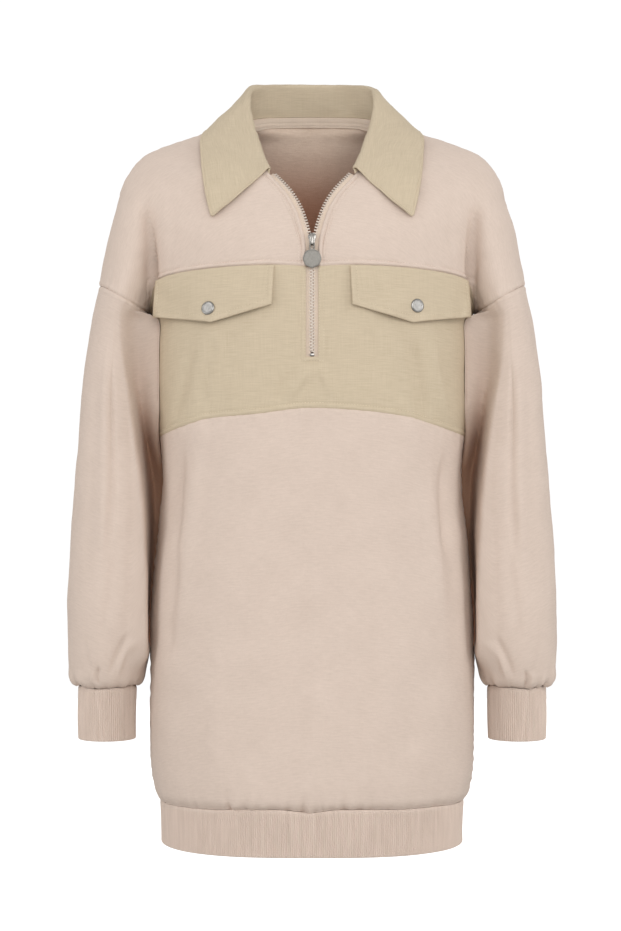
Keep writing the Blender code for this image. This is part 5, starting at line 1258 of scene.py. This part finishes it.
hem_loop = looped(np.vstack([lower[-1][1:], back[-1][::-1][1:]]))
hem_top = at_fractions(hem_loop, np.arange(3000) / 3000)
hem_low = grown(hem_top, -0.0018)
hem_top[:, 2] -= SEAM
hem_low[:, 2] = HEM_LINE - HEM_BAND + 0.002
HEM_RIBS = int(round(length_along(hem_top)[-1] / RIB_PITCH / 8)) * 8
rib_band("hem_band_knit", band_levels(hem_top, hem_low, 131, 14), HEM_RIBS, 133, "hem_band")

# ---------------------------------------------------------------- collar
collar_col = {k: monotone(COLLAR, k, "at") for k in COLLAR[0]._fields[1:]}


def neck_seam(s):
    """Points of the neck seam from the centre back (0) past the shoulder (0.5) to the zip (1)."""
    behind = at_fractions(neck_back_path, 1 - 2 * s[s < 0.5], on_body(neck_back_path, "back"))
    ahead = at_fractions(neck_path, 2 * s[s >= 0.5] - 1, on_body(neck_path, "front"))
    return np.vstack([on_body(behind, "back"), on_body(ahead, "front")])


def collar_point(line, s):
    """A point of the collar's roll or free edge."""
    return np.array([collar_col[f"{line}_{k}"](s) for k in "xyz"])


def collar_section(s, seam):
    """Points of one section: neck seam, stand, roll, fall, free edge."""
    roll, edge = collar_point("roll", s), collar_point("edge", s)
    out = unit((edge - roll) * (1, 1, 0))
    turn_r = min(0.0034, 0.30 * np.linalg.norm(roll - seam) + 0.0008)
    base = seam + (0.0, 0.0, SEAM + 0.0002)
    roll_run = unit(collar_point("roll", min(s + 0.01, 1.0)) - collar_point("roll", max(s - 0.01, 0.0)))
    side = unit(out - roll_run * np.dot(out, roll_run))
    crown = np.cross(side, roll_run)
    crown *= 1 if crown[2] > 0 else -1
    over = roll + side * 2 * turn_r
    bow = (out + (0, 0, 0.6)) * float(collar_col["bow"](s))
    points = [base, lerp(base, roll, 0.5) + out * 0.0006, roll]
    for a in (40, 90, 140):
        r = math.radians(a)
        points.append(roll + side * turn_r * (1 - math.cos(r)) + crown * turn_r * math.sin(r))
    points += [lerp(over, edge, f) + bow * math.sin(math.pi * f) for f in (0.10, 0.38, 0.70, 1.0)]
    return np.array(points)


near_end = 1 - EDGE_STEPS[::-1] / 0.24                  # close sections at the front end
collar_s = np.concatenate([np.linspace(0, 0.5, 31), np.linspace(0.5, near_end[0], 40)[1:], near_end[1:],
                           [1.0]])
across = spacing(0.105, 0.0023)
sections = np.stack([at_fractions(smooth_path(collar_section(s, p), 12), across)
                     for s, p in zip(collar_s, neck_seam(collar_s))], axis=1)
for _ in range(2):
    sections[:, 1:-1] = 0.5 * sections[:, 1:-1] + 0.25 * (sections[:, :-2] + sections[:, 2:])
# the front edge falls nearly straight from the zip to a blunt point, and the back lies a little lower
down_leaf = across[:, None]
drop = 0.0138 * np.sin(math.pi * down_leaf ** 1.15) * smoothstep((collar_s - 0.76) / 0.26) ** 1.3
sections = sections - np.array((0.0, 0.5, 1.0)) * drop[..., None]
sections[..., 2] -= 0.0014 * np.sin(math.pi * down_leaf) * smoothstep((0.45 - collar_s) / 0.3)
tip = sections[-1, -1].copy()
to_tip = np.linalg.norm(sections - tip, axis=2)
inward = unit(sections[-12, -9] - tip)
sections = sections + inward * (0.0024 * np.maximum(1 - to_tip / 0.0065, 0) ** 1.5)[..., None]
collar = np.concatenate([mirrored(sections[:, :0:-1]), sections], axis=1)
collar_n = unit(np.cross(np.gradient(collar, axis=1), np.gradient(collar, axis=0)))
if collar_n[4, collar.shape[1] // 2, 1] > 0:          # the stand's outer face looks into the fall
    collar_n = -collar_n


def rounded(gap, thick, reach):
    """Half thickness near a folded edge."""
    t = np.clip(gap / reach, 0, 1)
    return thick / 2 * np.maximum(np.sqrt(1 - (1 - t) ** 2), 0.16)


def edge_gap(grid, edges):
    """Distance from the named edges of a grid."""
    lines = {"low": grid[-1], "left": grid[:, 0], "right": grid[:, -1]}
    return np.min([near_line(grid, lines[e])[0] for e in edges], axis=0)


def doubled(name, middle, normal, half):
    """Two layers of twill round a middle surface, by their half thickness."""
    off = normal * half[..., None]
    return cloth_shell(name, middle + off, middle - off, TWILL_MAT, "twill")


gap = edge_gap(collar, ("low", "left", "right"))
half = (rounded(gap, COLLAR_CLOTH, 0.0012)
        + profile(gap, (0.00025, 0.0012, 0.0008), (-0.00050, 0.0026, 0.0007)))
seam_fade = smoothstep(near_line(collar, collar[0])[0] / 0.012)
wave = (0.00050 * ripple(collar, 0.050, 141) + 0.00012 * ripple(collar, 0.020, 143)) * seam_fade
ob = doubled("collar_cloth", collar + collar_n * wave[..., None], collar_n, half)
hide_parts("collar")

# ---------------------------------------------------------------- neck tape inside the back neck
TAPE_FROM = 7                                          # columns left out at each end of the back neck
TAPE_ROWS = (0.0064, 0.0106)                           # stitching along the tape
tape_steps = np.array((4, 12, 26, 42, 56, 64, 70, 84, 98, 106, 112, 120)) / 10000


def beside_neck(values, rows=24):
    """Values of the back, read at the tape's distances from the neck seam."""
    return np.stack([read_off(tape_steps, length_along(back[:rows, j]), values[:rows, j])
                     for j in range(neck_from + TAPE_FROM, neck_to - TAPE_FROM + 1)], axis=1)


tape, tape_n = beside_neck(back), unit(beside_neck(back_n))
dent = profile(tape_steps, *((1, d, 0.0006) for d in TAPE_ROWS))
wave = (0.00018 * ripple(tape, 0.012, 151) + 0.00040 * dent[:, None])[..., None] * tape_n
face = tape - tape_n * (FLEECE + 0.0010) + wave
tape_face = face - tape_n * TAPE
ob = cloth_shell("neck_tape_cloth", face, tape_face, NECK_MAT, "neck_tape")
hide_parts("neck_tape")

# ---------------------------------------------------------------- pocket flaps
# a flap in the front view: inner and outer end at the top and at the bottom, and its lower edge
FLAP_IN, FLAP_OUT = (0.0405, 0.0430), (0.1712, 0.1745)
FLAP_LOW = ((0.040, -0.1995), (0.1066, -0.2186), (0.1085, -0.2191), (0.1104, -0.2187), (0.176, -0.2100))
FLAP_ROW = 0.0064                                      # topstitching, from the free edges
FLAPS = {}
flap_u, flap_v = spacing(0.128, 0.0026), spacing(0.050, 0.0026)[:, None]
flap_top = np.vstack([yoke_path[yoke_path[:, 0] < 0.158], [(0.1712, -0.1700), (0.1800, -0.1722)]])
flap_low = smooth_path(FLAP_LOW, 12)
flap_x = lerp(lerp(*FLAP_IN, flap_v), lerp(*FLAP_OUT, flap_v), flap_u)
flap_z = lerp(np.interp(flap_x, *flap_top.T) - 0.0006, np.interp(flap_x, *flap_low.T), flap_v)
for tag, sign in SIDES:
    xz = np.stack([flap_x * sign, flap_z], -1)
    base, normal = on_body(xz, "front"), body_normal(xz, "front")
    gap, top_gap = edge_gap(base, ("low", "left", "right")), near_line(base, base[0])[0]
    lift = 0.0004 + 0.0046 * flap_v ** 0.9 + DOUBLE_TWILL / 2
    outer_end = np.clip((flap_x - 0.140) / 0.034, 0, 1)   # here it stays flatter than the body
    curl = 0.0007 * ripple(base, 0.048, 161 + sign) * smoothstep(flap_v / 0.5)
    forward = (lift + curl) / np.maximum(-normal[..., 1], 0.45)
    forward = forward + 0.0110 * outer_end ** 1.7 * (0.3 + 0.7 * flap_v)
    middle = base + np.array((0, -1.0, 0)) * forward[..., None]
    normal = unit(normal + np.array((0, -1.5, 0)) * (outer_end ** 1.5)[..., None])
    run = near_line(base, np.vstack([base[:, 0], base[-1, 1:], base[-2::-1, -1]]))[1]
    half = (rounded(gap, DOUBLE_TWILL, 0.0013)
            + profile(gap, (0.00035, 0.0032, 0.0022), (-0.00035, FLAP_ROW, 0.0008))
            + pucker(np.abs(gap - FLAP_ROW), run, 0.0060, 0.00012, 0.003, 163 + sign))
    half = half * np.where(top_gap < 0.002, 0.55 + 0.45 * top_gap / 0.002, 1.0)
    ob = doubled(f"flap_cloth_{tag}", middle, normal, half)
    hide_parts(f"flap_{tag}")
    FLAPS[tag] = (middle + normal * half[..., None], normal)

# ---------------------------------------------------------------- zip tapes and teeth
edge_line = np.vstack([yoke[neck_rows:, 0], chest[1:slot_rows + 1, slot_col + 1]])
edge_out = np.vstack([yoke_n[neck_rows:, 0], chest_n[1:slot_rows + 1, slot_col + 1]])
for _ in range(4):
    edge_out[1:-1] = unit(edge_out[:-2] + edge_out[1:-1] * 2 + edge_out[2:])
edge_len = length_along(edge_line)
TAPE_DEEP = FLEECE + 0.0006


def zip_frame(s):
    """Points of the cloth edge beside the zip, with the outward, downward and sideways directions."""
    out = unit(read_off(s, edge_len, edge_out))
    run = unit(read_off(s + 0.002, edge_len, edge_line) - read_off(s - 0.002, edge_len, edge_line))
    side = unit(np.cross(run, out))
    side *= np.where(side[:, :1] < 0, -1, 1)
    return read_off(s, edge_len, edge_line) + run * np.maximum(s - edge_len[-1], 0)[:, None], out, run, side


tape_s = np.append(np.arange(0, edge_len[-1], 0.0022), (edge_len[-1], edge_len[-1] + 0.0055))
at, out, run, side = zip_frame(tape_s)
tape_across = np.append((-CHAIN_TO_EDGE - 0.0010, -CHAIN_TO_EDGE),
                        (-0.0026, -0.0013, 0.0, 0.0022, 0.0045, 0.0065))
bead = profile(tape_across, (0.00045, -CHAIN_TO_EDGE, 0.0007))[:, None]
for tag, sign in SIDES:
    grid = (at[:, None] + side[:, None] * tape_across[:, None] - out[:, None] * TAPE_DEEP) * (sign, 1, 1)
    normal = np.broadcast_to(out[:, None] * (sign, 1, 1), grid.shape)
    ob = cloth_shell(f"zip_tape_cloth_{tag}", grid + normal * bead, grid - normal * (TAPE + bead), TAPE_MAT,
                     "zip_tape")
    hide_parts(f"zip_tape_{tag}")

# ---------------------------------------------------------------- modelling: metal pieces
def select(action="SELECT"):
    bpy.ops.mesh.select_all(action=action)


def drawn_out(x, y, z):
    """Extrudes what is selected."""
    bpy.ops.mesh.extrude_region_move(TRANSFORM_OT_translate={"value": (x, y, z)})


def eased(offset, segments=2):
    """Bevels the selected edges."""
    bpy.ops.mesh.bevel(offset=offset, segments=segments, affect="EDGES")


def edit_new(kind, **size):
    """Adds a primitive, with nothing else selected, and opens it for editing."""
    bpy.ops.object.select_all(action="DESELECT")
    getattr(bpy.ops.mesh, f"primitive_{kind}_add")(**size)
    bpy.ops.object.mode_set(mode="EDIT")
    return bpy.context.object


def pick(ob, test, kind="FACE"):
    """Selects only those faces of an open piece whose middle and normal pass the test, or edges by
    their two ends."""
    bpy.context.tool_settings.mesh_select_mode = (False, kind == "EDGE", kind == "FACE")
    select("DESELECT")
    bm = bmesh.from_edit_mesh(ob.data)
    if kind == "FACE":
        chosen = [f for f in bm.faces if test(f.calc_center_median(), f.normal)]
    else:
        chosen = [e for e in bm.edges if test(e.verts[0].co, e.verts[1].co)]
    for part in chosen:
        part.select_set(True)
    bmesh.update_edit_mesh(ob.data)


def faced_out():
    select()
    bpy.ops.mesh.normals_make_consistent(inside=False)


def closed_up(ob):
    """Ends editing with the faces turned outwards."""
    faced_out()
    bpy.ops.object.mode_set(mode="OBJECT")
    return ob


def plate(outline, y0, y1, rim=0.0003, segments=2, hole=()):
    """A plate cut to an outline in (x, z), with an optional hole of as many points, and eased edges."""
    count = len(outline)
    ob = edit_new("circle", vertices=count, fill_type="NOTHING" if hole else "NGON")
    if hole:
        bpy.ops.mesh.primitive_circle_add(vertices=count, fill_type="NOTHING")
    bm = bmesh.from_edit_mesh(ob.data)
    for v, (x, z) in zip(bm.verts, [*outline, *hole]):
        v.co = (x, y0, z)
    bmesh.update_edit_mesh(ob.data)
    select()
    if hole:
        bpy.context.tool_settings.mesh_select_mode = (False, True, False)
        select()
        bpy.ops.mesh.bridge_edge_loops()
    select()
    drawn_out(0, y1 - y0, 0)
    faced_out()
    if rim:
        pick(ob, lambda a, b: any(abs(a.y - y) < 1e-7 and abs(b.y - y) < 1e-7 for y in (y0, y1))
             and rim_edge(a, b, outline, hole), "EDGE")
        eased(rim, segments)
    return closed_up(ob)


def rim_edge(a, b, *rings):
    """True for an edge that runs along the outline or the hole."""
    for ring in rings:
        for k, p in enumerate(ring):
            q = ring[(k + 1) % len(ring)]
            for s, t in ((a, b), (b, a)):
                if abs(s.x - p[0]) + abs(s.z - p[1]) < 1e-6 and abs(t.x - q[0]) + abs(t.z - q[1]) < 1e-6:
                    return True
    return False


def block(size, at, rim=0.0002):
    """A small block with eased edges."""
    ob = edit_new("cube", size=1.0)
    bpy.ops.transform.resize(value=size)
    select()
    eased(rim)
    bpy.ops.transform.translate(value=at)
    return closed_up(ob)


def rod(radius, length, sides=14, rim=0.00015):
    """A round bar lying along x."""
    ob = edit_new("cylinder", vertices=sides, radius=radius, depth=length, end_fill_type="NGON")
    pick(ob, lambda a, b: abs(a.z - b.z) < 1e-7, "EDGE")
    eased(rim)
    select()
    bm = bmesh.from_edit_mesh(ob.data)
    for v in bm.verts:                                   # stand it along x
        v.co = (v.co.z, v.co.x, v.co.y)
    bmesh.update_edit_mesh(ob.data)
    return closed_up(ob)


def assemble(name, parts, place, material, node, body="garment"):
    """Joins parts made at the origin, and puts them in their place in the mesh itself."""
    bpy.ops.object.select_all(action="DESELECT")
    for p in parts:
        p.select_set(True)
    bpy.context.view_layer.objects.active = ob = parts[0]
    if len(parts) > 1:
        bpy.ops.object.join()
    ob.data.transform(place)
    ob.name = ob.data.name = name
    ob.data.materials.clear()
    ob.data.materials.append(material)
    ob.data.shade_smooth()
    ob.data.set_sharp_from_angle(angle=math.radians(32))
    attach(ob, body)
    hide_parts(node)


def arrays_of(ob):
    """Points and faces of a small piece, which is then taken away."""
    points = np.array([v.co[:] for v in ob.data.vertices])
    faces = [tuple(p.vertices) for p in ob.data.polygons]
    bpy.data.objects.remove(ob, do_unlink=True)
    return points, faces


def repeated(name, shape, places, material):
    """One mesh of copies of a small shape; places are (origin, x, y, z directions)."""
    points, faces = shape
    all_points, all_faces = [], []
    for k, (origin, *axes) in enumerate(places):
        all_points.append(origin + points @ np.stack(axes))
        all_faces += [tuple(i + k * len(points) for i in f) for f in faces]
    mesh = bpy.data.meshes.new(name)
    mesh.from_pydata(np.concatenate(all_points).tolist(), [], all_faces)
    mesh.shade_smooth()
    mesh.set_sharp_from_angle(angle=math.radians(40))
    mesh.materials.append(material)
    return in_scene(mesh)


# ---------------------------------------------------------------- zip teeth
TOOTH_PITCH = 0.0034
tooth = edit_new("cube", size=1.0)
bpy.ops.transform.resize(value=(0.0038, 0.0024, 0.00170))
pick(tooth, lambda c, n: n.x < -0.9)
drawn_out(-0.0005, 0, 0)
bpy.ops.transform.resize(value=(1, 0.80, 0.62))
select()
eased(0.00022, 1)
tooth_shape = arrays_of(closed_up(tooth))
for tag, sign in SIDES:
    s = np.arange(0.0012 + (0 if sign > 0 else TOOTH_PITCH / 2), edge_len[-1] - 0.0045, TOOTH_PITCH)
    at, out, run, side = zip_frame(s)
    centre = at - side * (CHAIN_TO_EDGE + 0.0003 + CHAIN_W / 2) - out * (TAPE_DEEP + TAPE / 2)
    places = zip(*(part * (sign, 1, 1) for part in (centre, side, -out, -run)))
    ob = repeated(f"zip_teeth_{tag}", tooth_shape, places, ZIP_METAL)
    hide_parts(f"zip_chain_{tag}")

# ---------------------------------------------------------------- slider, stop and pull
SLIDER_Z = -0.1300


def surface_y(z):
    """y of the front at the middle, at a height z."""
    return -float(depth(np.zeros(1), np.array([z]), "front")[0])


TILT = -math.atan((surface_y(-0.136) - surface_y(-0.124)) / (-0.012))
slider_home = Matrix.Translation((0.0, surface_y(SLIDER_Z), SLIDER_Z)) @ Matrix.Rotation(TILT, 4, "X")
CHAIN_FACE = TAPE_DEEP + TAPE / 2 - CHAIN_T / 2            # depth of the chain's front under the cloth
PLATE_IN, PLATE_OUT = CHAIN_FACE - 0.0003, CHAIN_FACE - 0.0015
BACK_PLATE = CHAIN_FACE + CHAIN_T + 0.0003
half_outline = [(0.0000, 0.0067), (0.0018, 0.0065), (0.0030, 0.0057), (0.0041, 0.0042), (0.0044, 0.0026),
                (0.0040, 0.0008), (0.0034, -0.0012), (0.0030, -0.0034), (0.0027, -0.0052), (0.0019, -0.0062),
                (0.0000, -0.0064)]
slider_outline = half_outline + [(-x, z) for x, z in half_outline[-2:0:-1]]
lobe_outline = ((0.0010, 0.0050), (0.0026, 0.0050), (0.0035, 0.0036), (0.0032, 0.0012), (0.0024, -0.0030),
                (0.0014, -0.0036), (0.0010, -0.0010), (0.0010, 0.0020))
AXIS_OUT, AXIS_UP = -0.0031, -0.0054                      # crossbar of the pull in the slider's frame
BRIDGE_OUT, BRIDGE_FOOT = AXIS_OUT - 0.0020, PLATE_OUT + 0.0004
front_plate = plate(slider_outline, PLATE_IN, PLATE_OUT, 0.0005, 3)
back_plate = plate(slider_outline, BACK_PLATE, BACK_PLATE + 0.0010)
post = block((0.0020, BACK_PLATE - PLATE_IN + 0.0008, 0.0026), (0, (BACK_PLATE + PLATE_IN) / 2, 0.0045))
lips = [block((0.0007, 0.0014, 0.0050), (0.0028 * k, PLATE_IN + 0.0004, -0.0028)) for k in (-1, 1)]
lobes = [plate([(k * x, z) for x, z in lobe_outline], PLATE_OUT + 0.0003, PLATE_OUT - 0.0006, 0.0004)
         for k in (-1, 1)]
outer_arch = ((0.0016, 0.0048), (0.0005, 0.0040), (0, 0.0024), (0, -0.0058), (0.0004, -0.0071),
              (0.0012, -0.0076))
inner_arch = ((0.0013, -0.0066), (0.0010, -0.0060), (0.0010, 0.0022), (0.0016, 0.0034))
arch_side = [(BRIDGE_FOOT, 0.0050), *((BRIDGE_OUT + y, z) for y, z in outer_arch), (BRIDGE_FOOT, -0.0076),
             (BRIDGE_FOOT, -0.0066), *((BRIDGE_OUT + y, z) for y, z in inner_arch), (BRIDGE_FOOT, 0.0036)]
arch = plate(arch_side, -0.0008, 0.0008, 0.0)
for v in arch.data.vertices:                              # its outline is in (y, z), its width along x
    v.co = Vector((v.co.y, v.co.x, v.co.z))
bpy.ops.object.mode_set(mode="EDIT")
faced_out()
pick(arch, lambda a, b: abs(a.x - b.x) < 1e-7, "EDGE")
eased(0.00022)
closed_up(arch)
assemble("slider_body", [front_plate, back_plate, post, arch] + lips + lobes, slider_home, SLIDER_METAL,
         "zip_slider")

stop_z = ZIP_END_Z + 0.0020
assemble("bottom_stop", [block((0.0050, 0.0013, 0.0028), (0, 0, 0), 0.0004)],
         Matrix.Translation((0, surface_y(stop_z) + TAPE_DEEP - 0.0008, stop_z)), SLIDER_METAL,
         "zip_stop")

# the pull hangs from the slider's crossbar; here the crossbar's axis is the origin
PULL_T, TAB_MID, TAB_HALF, TAB_SIDES = 0.0016, -0.0163, 0.0100, 8
CORNER = math.radians(360 / TAB_SIDES)
tab = []
for k in range(TAB_SIDES):
    before, corner, after = (TAB_HALF * 1.04 * np.array((math.cos(a), math.sin(a) * 1.02))
                             for a in (CORNER * (k - 1), CORNER * k, CORNER * (k + 1)))
    for t in (-0.24, -0.14, -0.05, 0.05, 0.14, 0.24):     # a rounded corner
        p = lerp(corner, before if t < 0 else after, abs(t)) * (1 - 0.055 * (1 - abs(t) / 0.24) ** 2)
        tab.append((p[0], p[1] + TAB_MID))
disc = plate(tab, -PULL_T / 2, PULL_T / 2, 0.00028)
bpy.ops.object.mode_set(mode="EDIT")
for face_way in (-1, 1):
    pick(disc, lambda c, n: n.y * face_way > 0.99 and abs(c.y) > PULL_T / 2 - 1e-5)
    bpy.ops.mesh.inset(thickness=0.00075)
    bpy.ops.mesh.inset(thickness=0.00030, depth=-0.00028)
closed_up(disc)
eye_turn = np.linspace(0, 2 * math.pi, 20, endpoint=False)
eye_out = [(0.0031 * math.sin(a) * (1 + 0.08 * math.cos(a)), -0.0036 + 0.0045 * math.cos(a))
           for a in eye_turn]
eye_hole = [(0.0016 * math.copysign(abs(math.sin(a)) ** 0.7, math.sin(a)), -0.0032 + 0.0034 * math.cos(a))
            for a in eye_turn]
eyelet = plate(eye_out, -PULL_T / 2 + 0.0001, PULL_T / 2 - 0.0001, 0.00025, 2, eye_hole)
axis = slider_home @ Vector((0.0, AXIS_OUT, AXIS_UP))
assemble("pull_tab", [disc, eyelet, rod(0.0008, 0.0046)], Matrix.Translation(axis), SATIN,
         "zip_pull", "zip_pull")

# ---------------------------------------------------------------- snap caps
CAP_R = 0.0075
for tag, x, z in (("left", 0.1125, -0.2010), ("right", -0.1110, -0.2030)):
    points = FLAPS[tag][0].reshape(-1, 3)
    near = points[np.hypot(points[:, 0] - x, points[:, 2] - z) < 0.009]
    centre = near.mean(axis=0)
    normal = np.linalg.svd(near - centre)[2][2]
    normal = normal * (-1 if normal[1] > 0 else 1)
    foot = centre + normal * (((near - centre) @ normal).max() - 0.0002)
    cap = edit_new("circle", vertices=36, radius=CAP_R, fill_type="NGON")
    drawn_out(0, 0, 0.0007)
    for inset, rise in ((0.0006, 0.0007), (0.0010, 0.0004), (0.0006, -0.0003), (0.0022, 0.0001)):
        bpy.ops.mesh.inset(thickness=inset, depth=rise)
    pick(cap, lambda a, b: abs(a.z - b.z) < 1e-7 and math.hypot(a.x, a.y) > 0.004, "EDGE")
    eased(0.00022)
    closed_up(cap)
    way = Vector(normal).to_track_quat("Z", "Y").to_matrix().to_4x4()
    assemble(f"snap_{tag}", [cap], Matrix.Translation(foot) @ way, NICKEL, f"snap_cap_{tag}")

# ---------------------------------------------------------------- stitches
# one stitch: a four-sided thread that dips into the cloth at both ends; rings are (along, size, rise)
STITCH_RINGS = ((-0.5, 0.35, -0.9), (-0.28, 0.95, 0.15), (0.28, 0.95, 0.15), (0.5, 0.35, -0.9))
SQUARE = ((-0.5, 0), (0, 0.5), (0.5, 0), (0, -0.5))
stitch_points = [(along, y * size, z * size + rise) for along, size, rise in STITCH_RINGS for y, z in SQUARE]
stitch_faces = [(4 * k + q, 4 * k + (q + 1) % 4, 4 * k + 4 + (q + 1) % 4, 4 * k + 4 + q)
                for k in range(3) for q in range(4)]
STITCH = (np.array(stitch_points), stitch_faces + [(0, 3, 2, 1), (12, 13, 14, 15)])


def stitches(name, lines, material, step=0.0031, length=0.0024, thread=0.00060):
    """Rows of stitches along lines of (points, normals) on the cloth."""
    places = []
    for line, normal in lines:
        far = length_along(line)
        if far[-1] < 2 * step:
            continue
        s = np.arange(step / 2, far[-1] - step / 2, step)
        n = unit(read_off(s, far, normal))
        run = unit(read_off(s + step / 2, far, line) - read_off(s - step / 2, far, line))
        places += zip(read_off(s, far, line), run * length, unit(np.cross(n, run)) * thread, n * thread)
    repeated(name, STITCH, places, material)


def edge_row(points, normal, gap, distance):
    """A line on a grid at a distance from its first row."""
    line, out = [], []
    for j in range(points.shape[1]):
        g = gap[:, j]
        k = int(np.argmax(g > distance))
        if k:
            t = (distance - g[k - 1]) / (g[k] - g[k - 1])
            line.append(lerp(points[k - 1, j], points[k, j], t))
            out.append(lerp(normal[k - 1, j], normal[k, j], t))
    return np.array(line), np.array(out)


for tag, _ in SIDES:
    grid, normal, high = YOKE[tag]
    outer = grid + normal * high[..., None]
    rows = [edge_row(*(part[::-1, 2:] for part in (outer, normal, near_line(grid, grid[-1])[0])), YOKE_ROW)]
    gap = near_line(grid, grid[neck_rows:, 0])[0]
    beside_zip = [part[neck_rows + 1:-2].swapaxes(0, 1) for part in (outer, normal, gap)]
    rows += [edge_row(*beside_zip, distance) for distance in FOLD_ROWS]
    stitches(f"yoke_stitches_{tag}", rows, PINK_THREAD)


def chest_line(marks):
    """A line on the chest panel through marks in the front view."""
    path = np.array(marks)
    far = length_along(path)
    xz = read_off(np.linspace(0, far[-1], int(far[-1] / 0.002) + 2), far, path)
    points, normal = on_body(xz, "front"), body_normal(xz, "front")
    return points + normal * chest_height(points, xz)[..., None], normal


BOX_X, BOX_LOW, BOX_TOP = 0.0126, ZIP_END_Z - 0.0042, seam_top - 0.003
INNER_X = ZIP_SLOT + 0.0011
outer, gap = chest + chest_n * chest_high[..., None], near_line(chest, chest[-1])[0]
rows = [edge_row(*(part[::-1, 1:-1] for part in (outer, chest_n, gap)), CHEST_ROW)]
rows += [chest_line([(x, BOX_TOP), (x, ZIP_END_Z - 0.001)]) for x in (-INNER_X, INNER_X)]
rows.append(chest_line([(-BOX_X, BOX_TOP), (-BOX_X, BOX_LOW), (BOX_X, BOX_LOW), (BOX_X, BOX_TOP)]))
stitches("chest_stitches", rows, SAGE_THREAD)

FROM_EDGE = {"low": lambda g: g[::-1], "left": lambda g: g.swapaxes(0, 1),
             "right": lambda g: g.swapaxes(0, 1)[::-1]}
for tag, _ in SIDES:
    outer, normal = FLAPS[tag]
    gaps = {e: edge_gap(outer, (e,)) for e in FROM_EDGE}
    rows = []
    for e, turned in FROM_EDGE.items():
        others = np.min([gaps[o] for o in gaps if o != e], axis=0)[..., None]
        line, out = edge_row(turned(outer), turned(normal), turned(gaps[e]), FLAP_ROW)
        clear = edge_row(turned(others), turned(normal), turned(gaps[e]), FLAP_ROW)[0][:, 0]
        inside = clear >= FLAP_ROW - 0.0006
        rows.append((line[inside], out[inside]))
    stitches(f"flap_stitches_{tag}", rows, SAGE_THREAD)

rows = [(tape_face[k], -tape_n[k]) for k in (int(np.argmin(np.abs(tape_steps - d))) for d in TAPE_ROWS)]
stitches("neck_tape_stitches", rows, PINK_THREAD, 0.0030, 0.0022, 0.00042)

# ---------------------------------------------------------------- camera, light, floor
def stand(name, data, at, turn=(0, 0, 0)):
    """Puts a camera, lamp or mesh in the scene."""
    ob = bpy.data.objects.new(name, data)
    ob.location, ob.rotation_euler = at, turn
    bpy.context.scene.collection.objects.link(ob)
    return ob


camera = bpy.data.cameras.new("camera")
camera.lens = 86.4
bpy.context.scene.camera = stand("camera", camera, (-0.0017, -2.5, -0.372), (math.radians(90), 0, 0))

LAMPS = table("name x y z width height power",
    ("front_soft", 0.4, -2.9, 0.6, 2.0, 1.6, 31.5),
    ("left_soft", -2.3, -1.3, 0.2, 1.2, 2.2, 18.0),
    ("right_soft", 2.3, -1.3, 0.2, 1.2, 2.2, 17.0),
    ("top_soft", 0.0, -0.9, 2.0, 1.8, 1.6, 0.8),
    ("back_soft", 0.0, 2.2, 0.9, 2.4, 1.8, 10.0))
AIM = Vector((0.0, 0.0, -0.38))
for lamp in LAMPS:
    data = bpy.data.lights.new(lamp.name, "AREA")
    data.shape, data.size, data.size_y, data.energy = "RECTANGLE", lamp.width, lamp.height, lamp.power
    at = Vector((lamp.x, lamp.y, lamp.z))
    stand(lamp.name, data, at, (AIM - at).to_track_quat("-Z", "Y").to_euler())

world = bpy.data.worlds.new("studio")
world.use_nodes = True
tree = world.node_tree
background = tree.nodes["Background"]
background.inputs[0].default_value = (1.0, 1.0, 1.0, 1)
DOME, SEEN = 0.62, 1.02                                # the dome's light, and how bright it looks itself
seen = put(tree, "LightPath").outputs["Is Camera Ray"]
glow = calc(tree, "ADD", calc(tree, "MULTIPLY", seen, SEEN - DOME), DOME)
tree.links.new(glow, background.inputs[1])
bpy.context.scene.world = world
bpy.context.scene.view_settings.view_transform = "Standard"

paper = bpy.data.materials.new("white_paper")
paper.use_nodes = True
tree = paper.node_tree
shader = tree.nodes["Principled BSDF"]
shader.inputs["Base Color"].default_value = (0.54, 0.53, 0.52, 1)
shader.inputs["Roughness"].default_value = 0.9
shader.inputs["Emission Color"].default_value = (1, 1, 1, 1)
seen = put(tree, "LightPath").outputs["Is Camera Ray"]
tree.links.new(calc(tree, "MULTIPLY", seen, 0.90), shader.inputs["Emission Strength"])
FLOOR_Z, FLOOR_HALF = -1.05, 4.0
mesh = bpy.data.meshes.new("paper_floor")
corners = ((-FLOOR_HALF, -FLOOR_HALF), (FLOOR_HALF, -FLOOR_HALF), (FLOOR_HALF, FLOOR_HALF),
           (-FLOOR_HALF, FLOOR_HALF))
mesh.from_pydata([(x, y, FLOOR_Z) for x, y in corners], [], [(0, 1, 2, 3)])
mesh.materials.append(paper)
stand("paper_floor", mesh, (0, 0, 0))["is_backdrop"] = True

low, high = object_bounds()
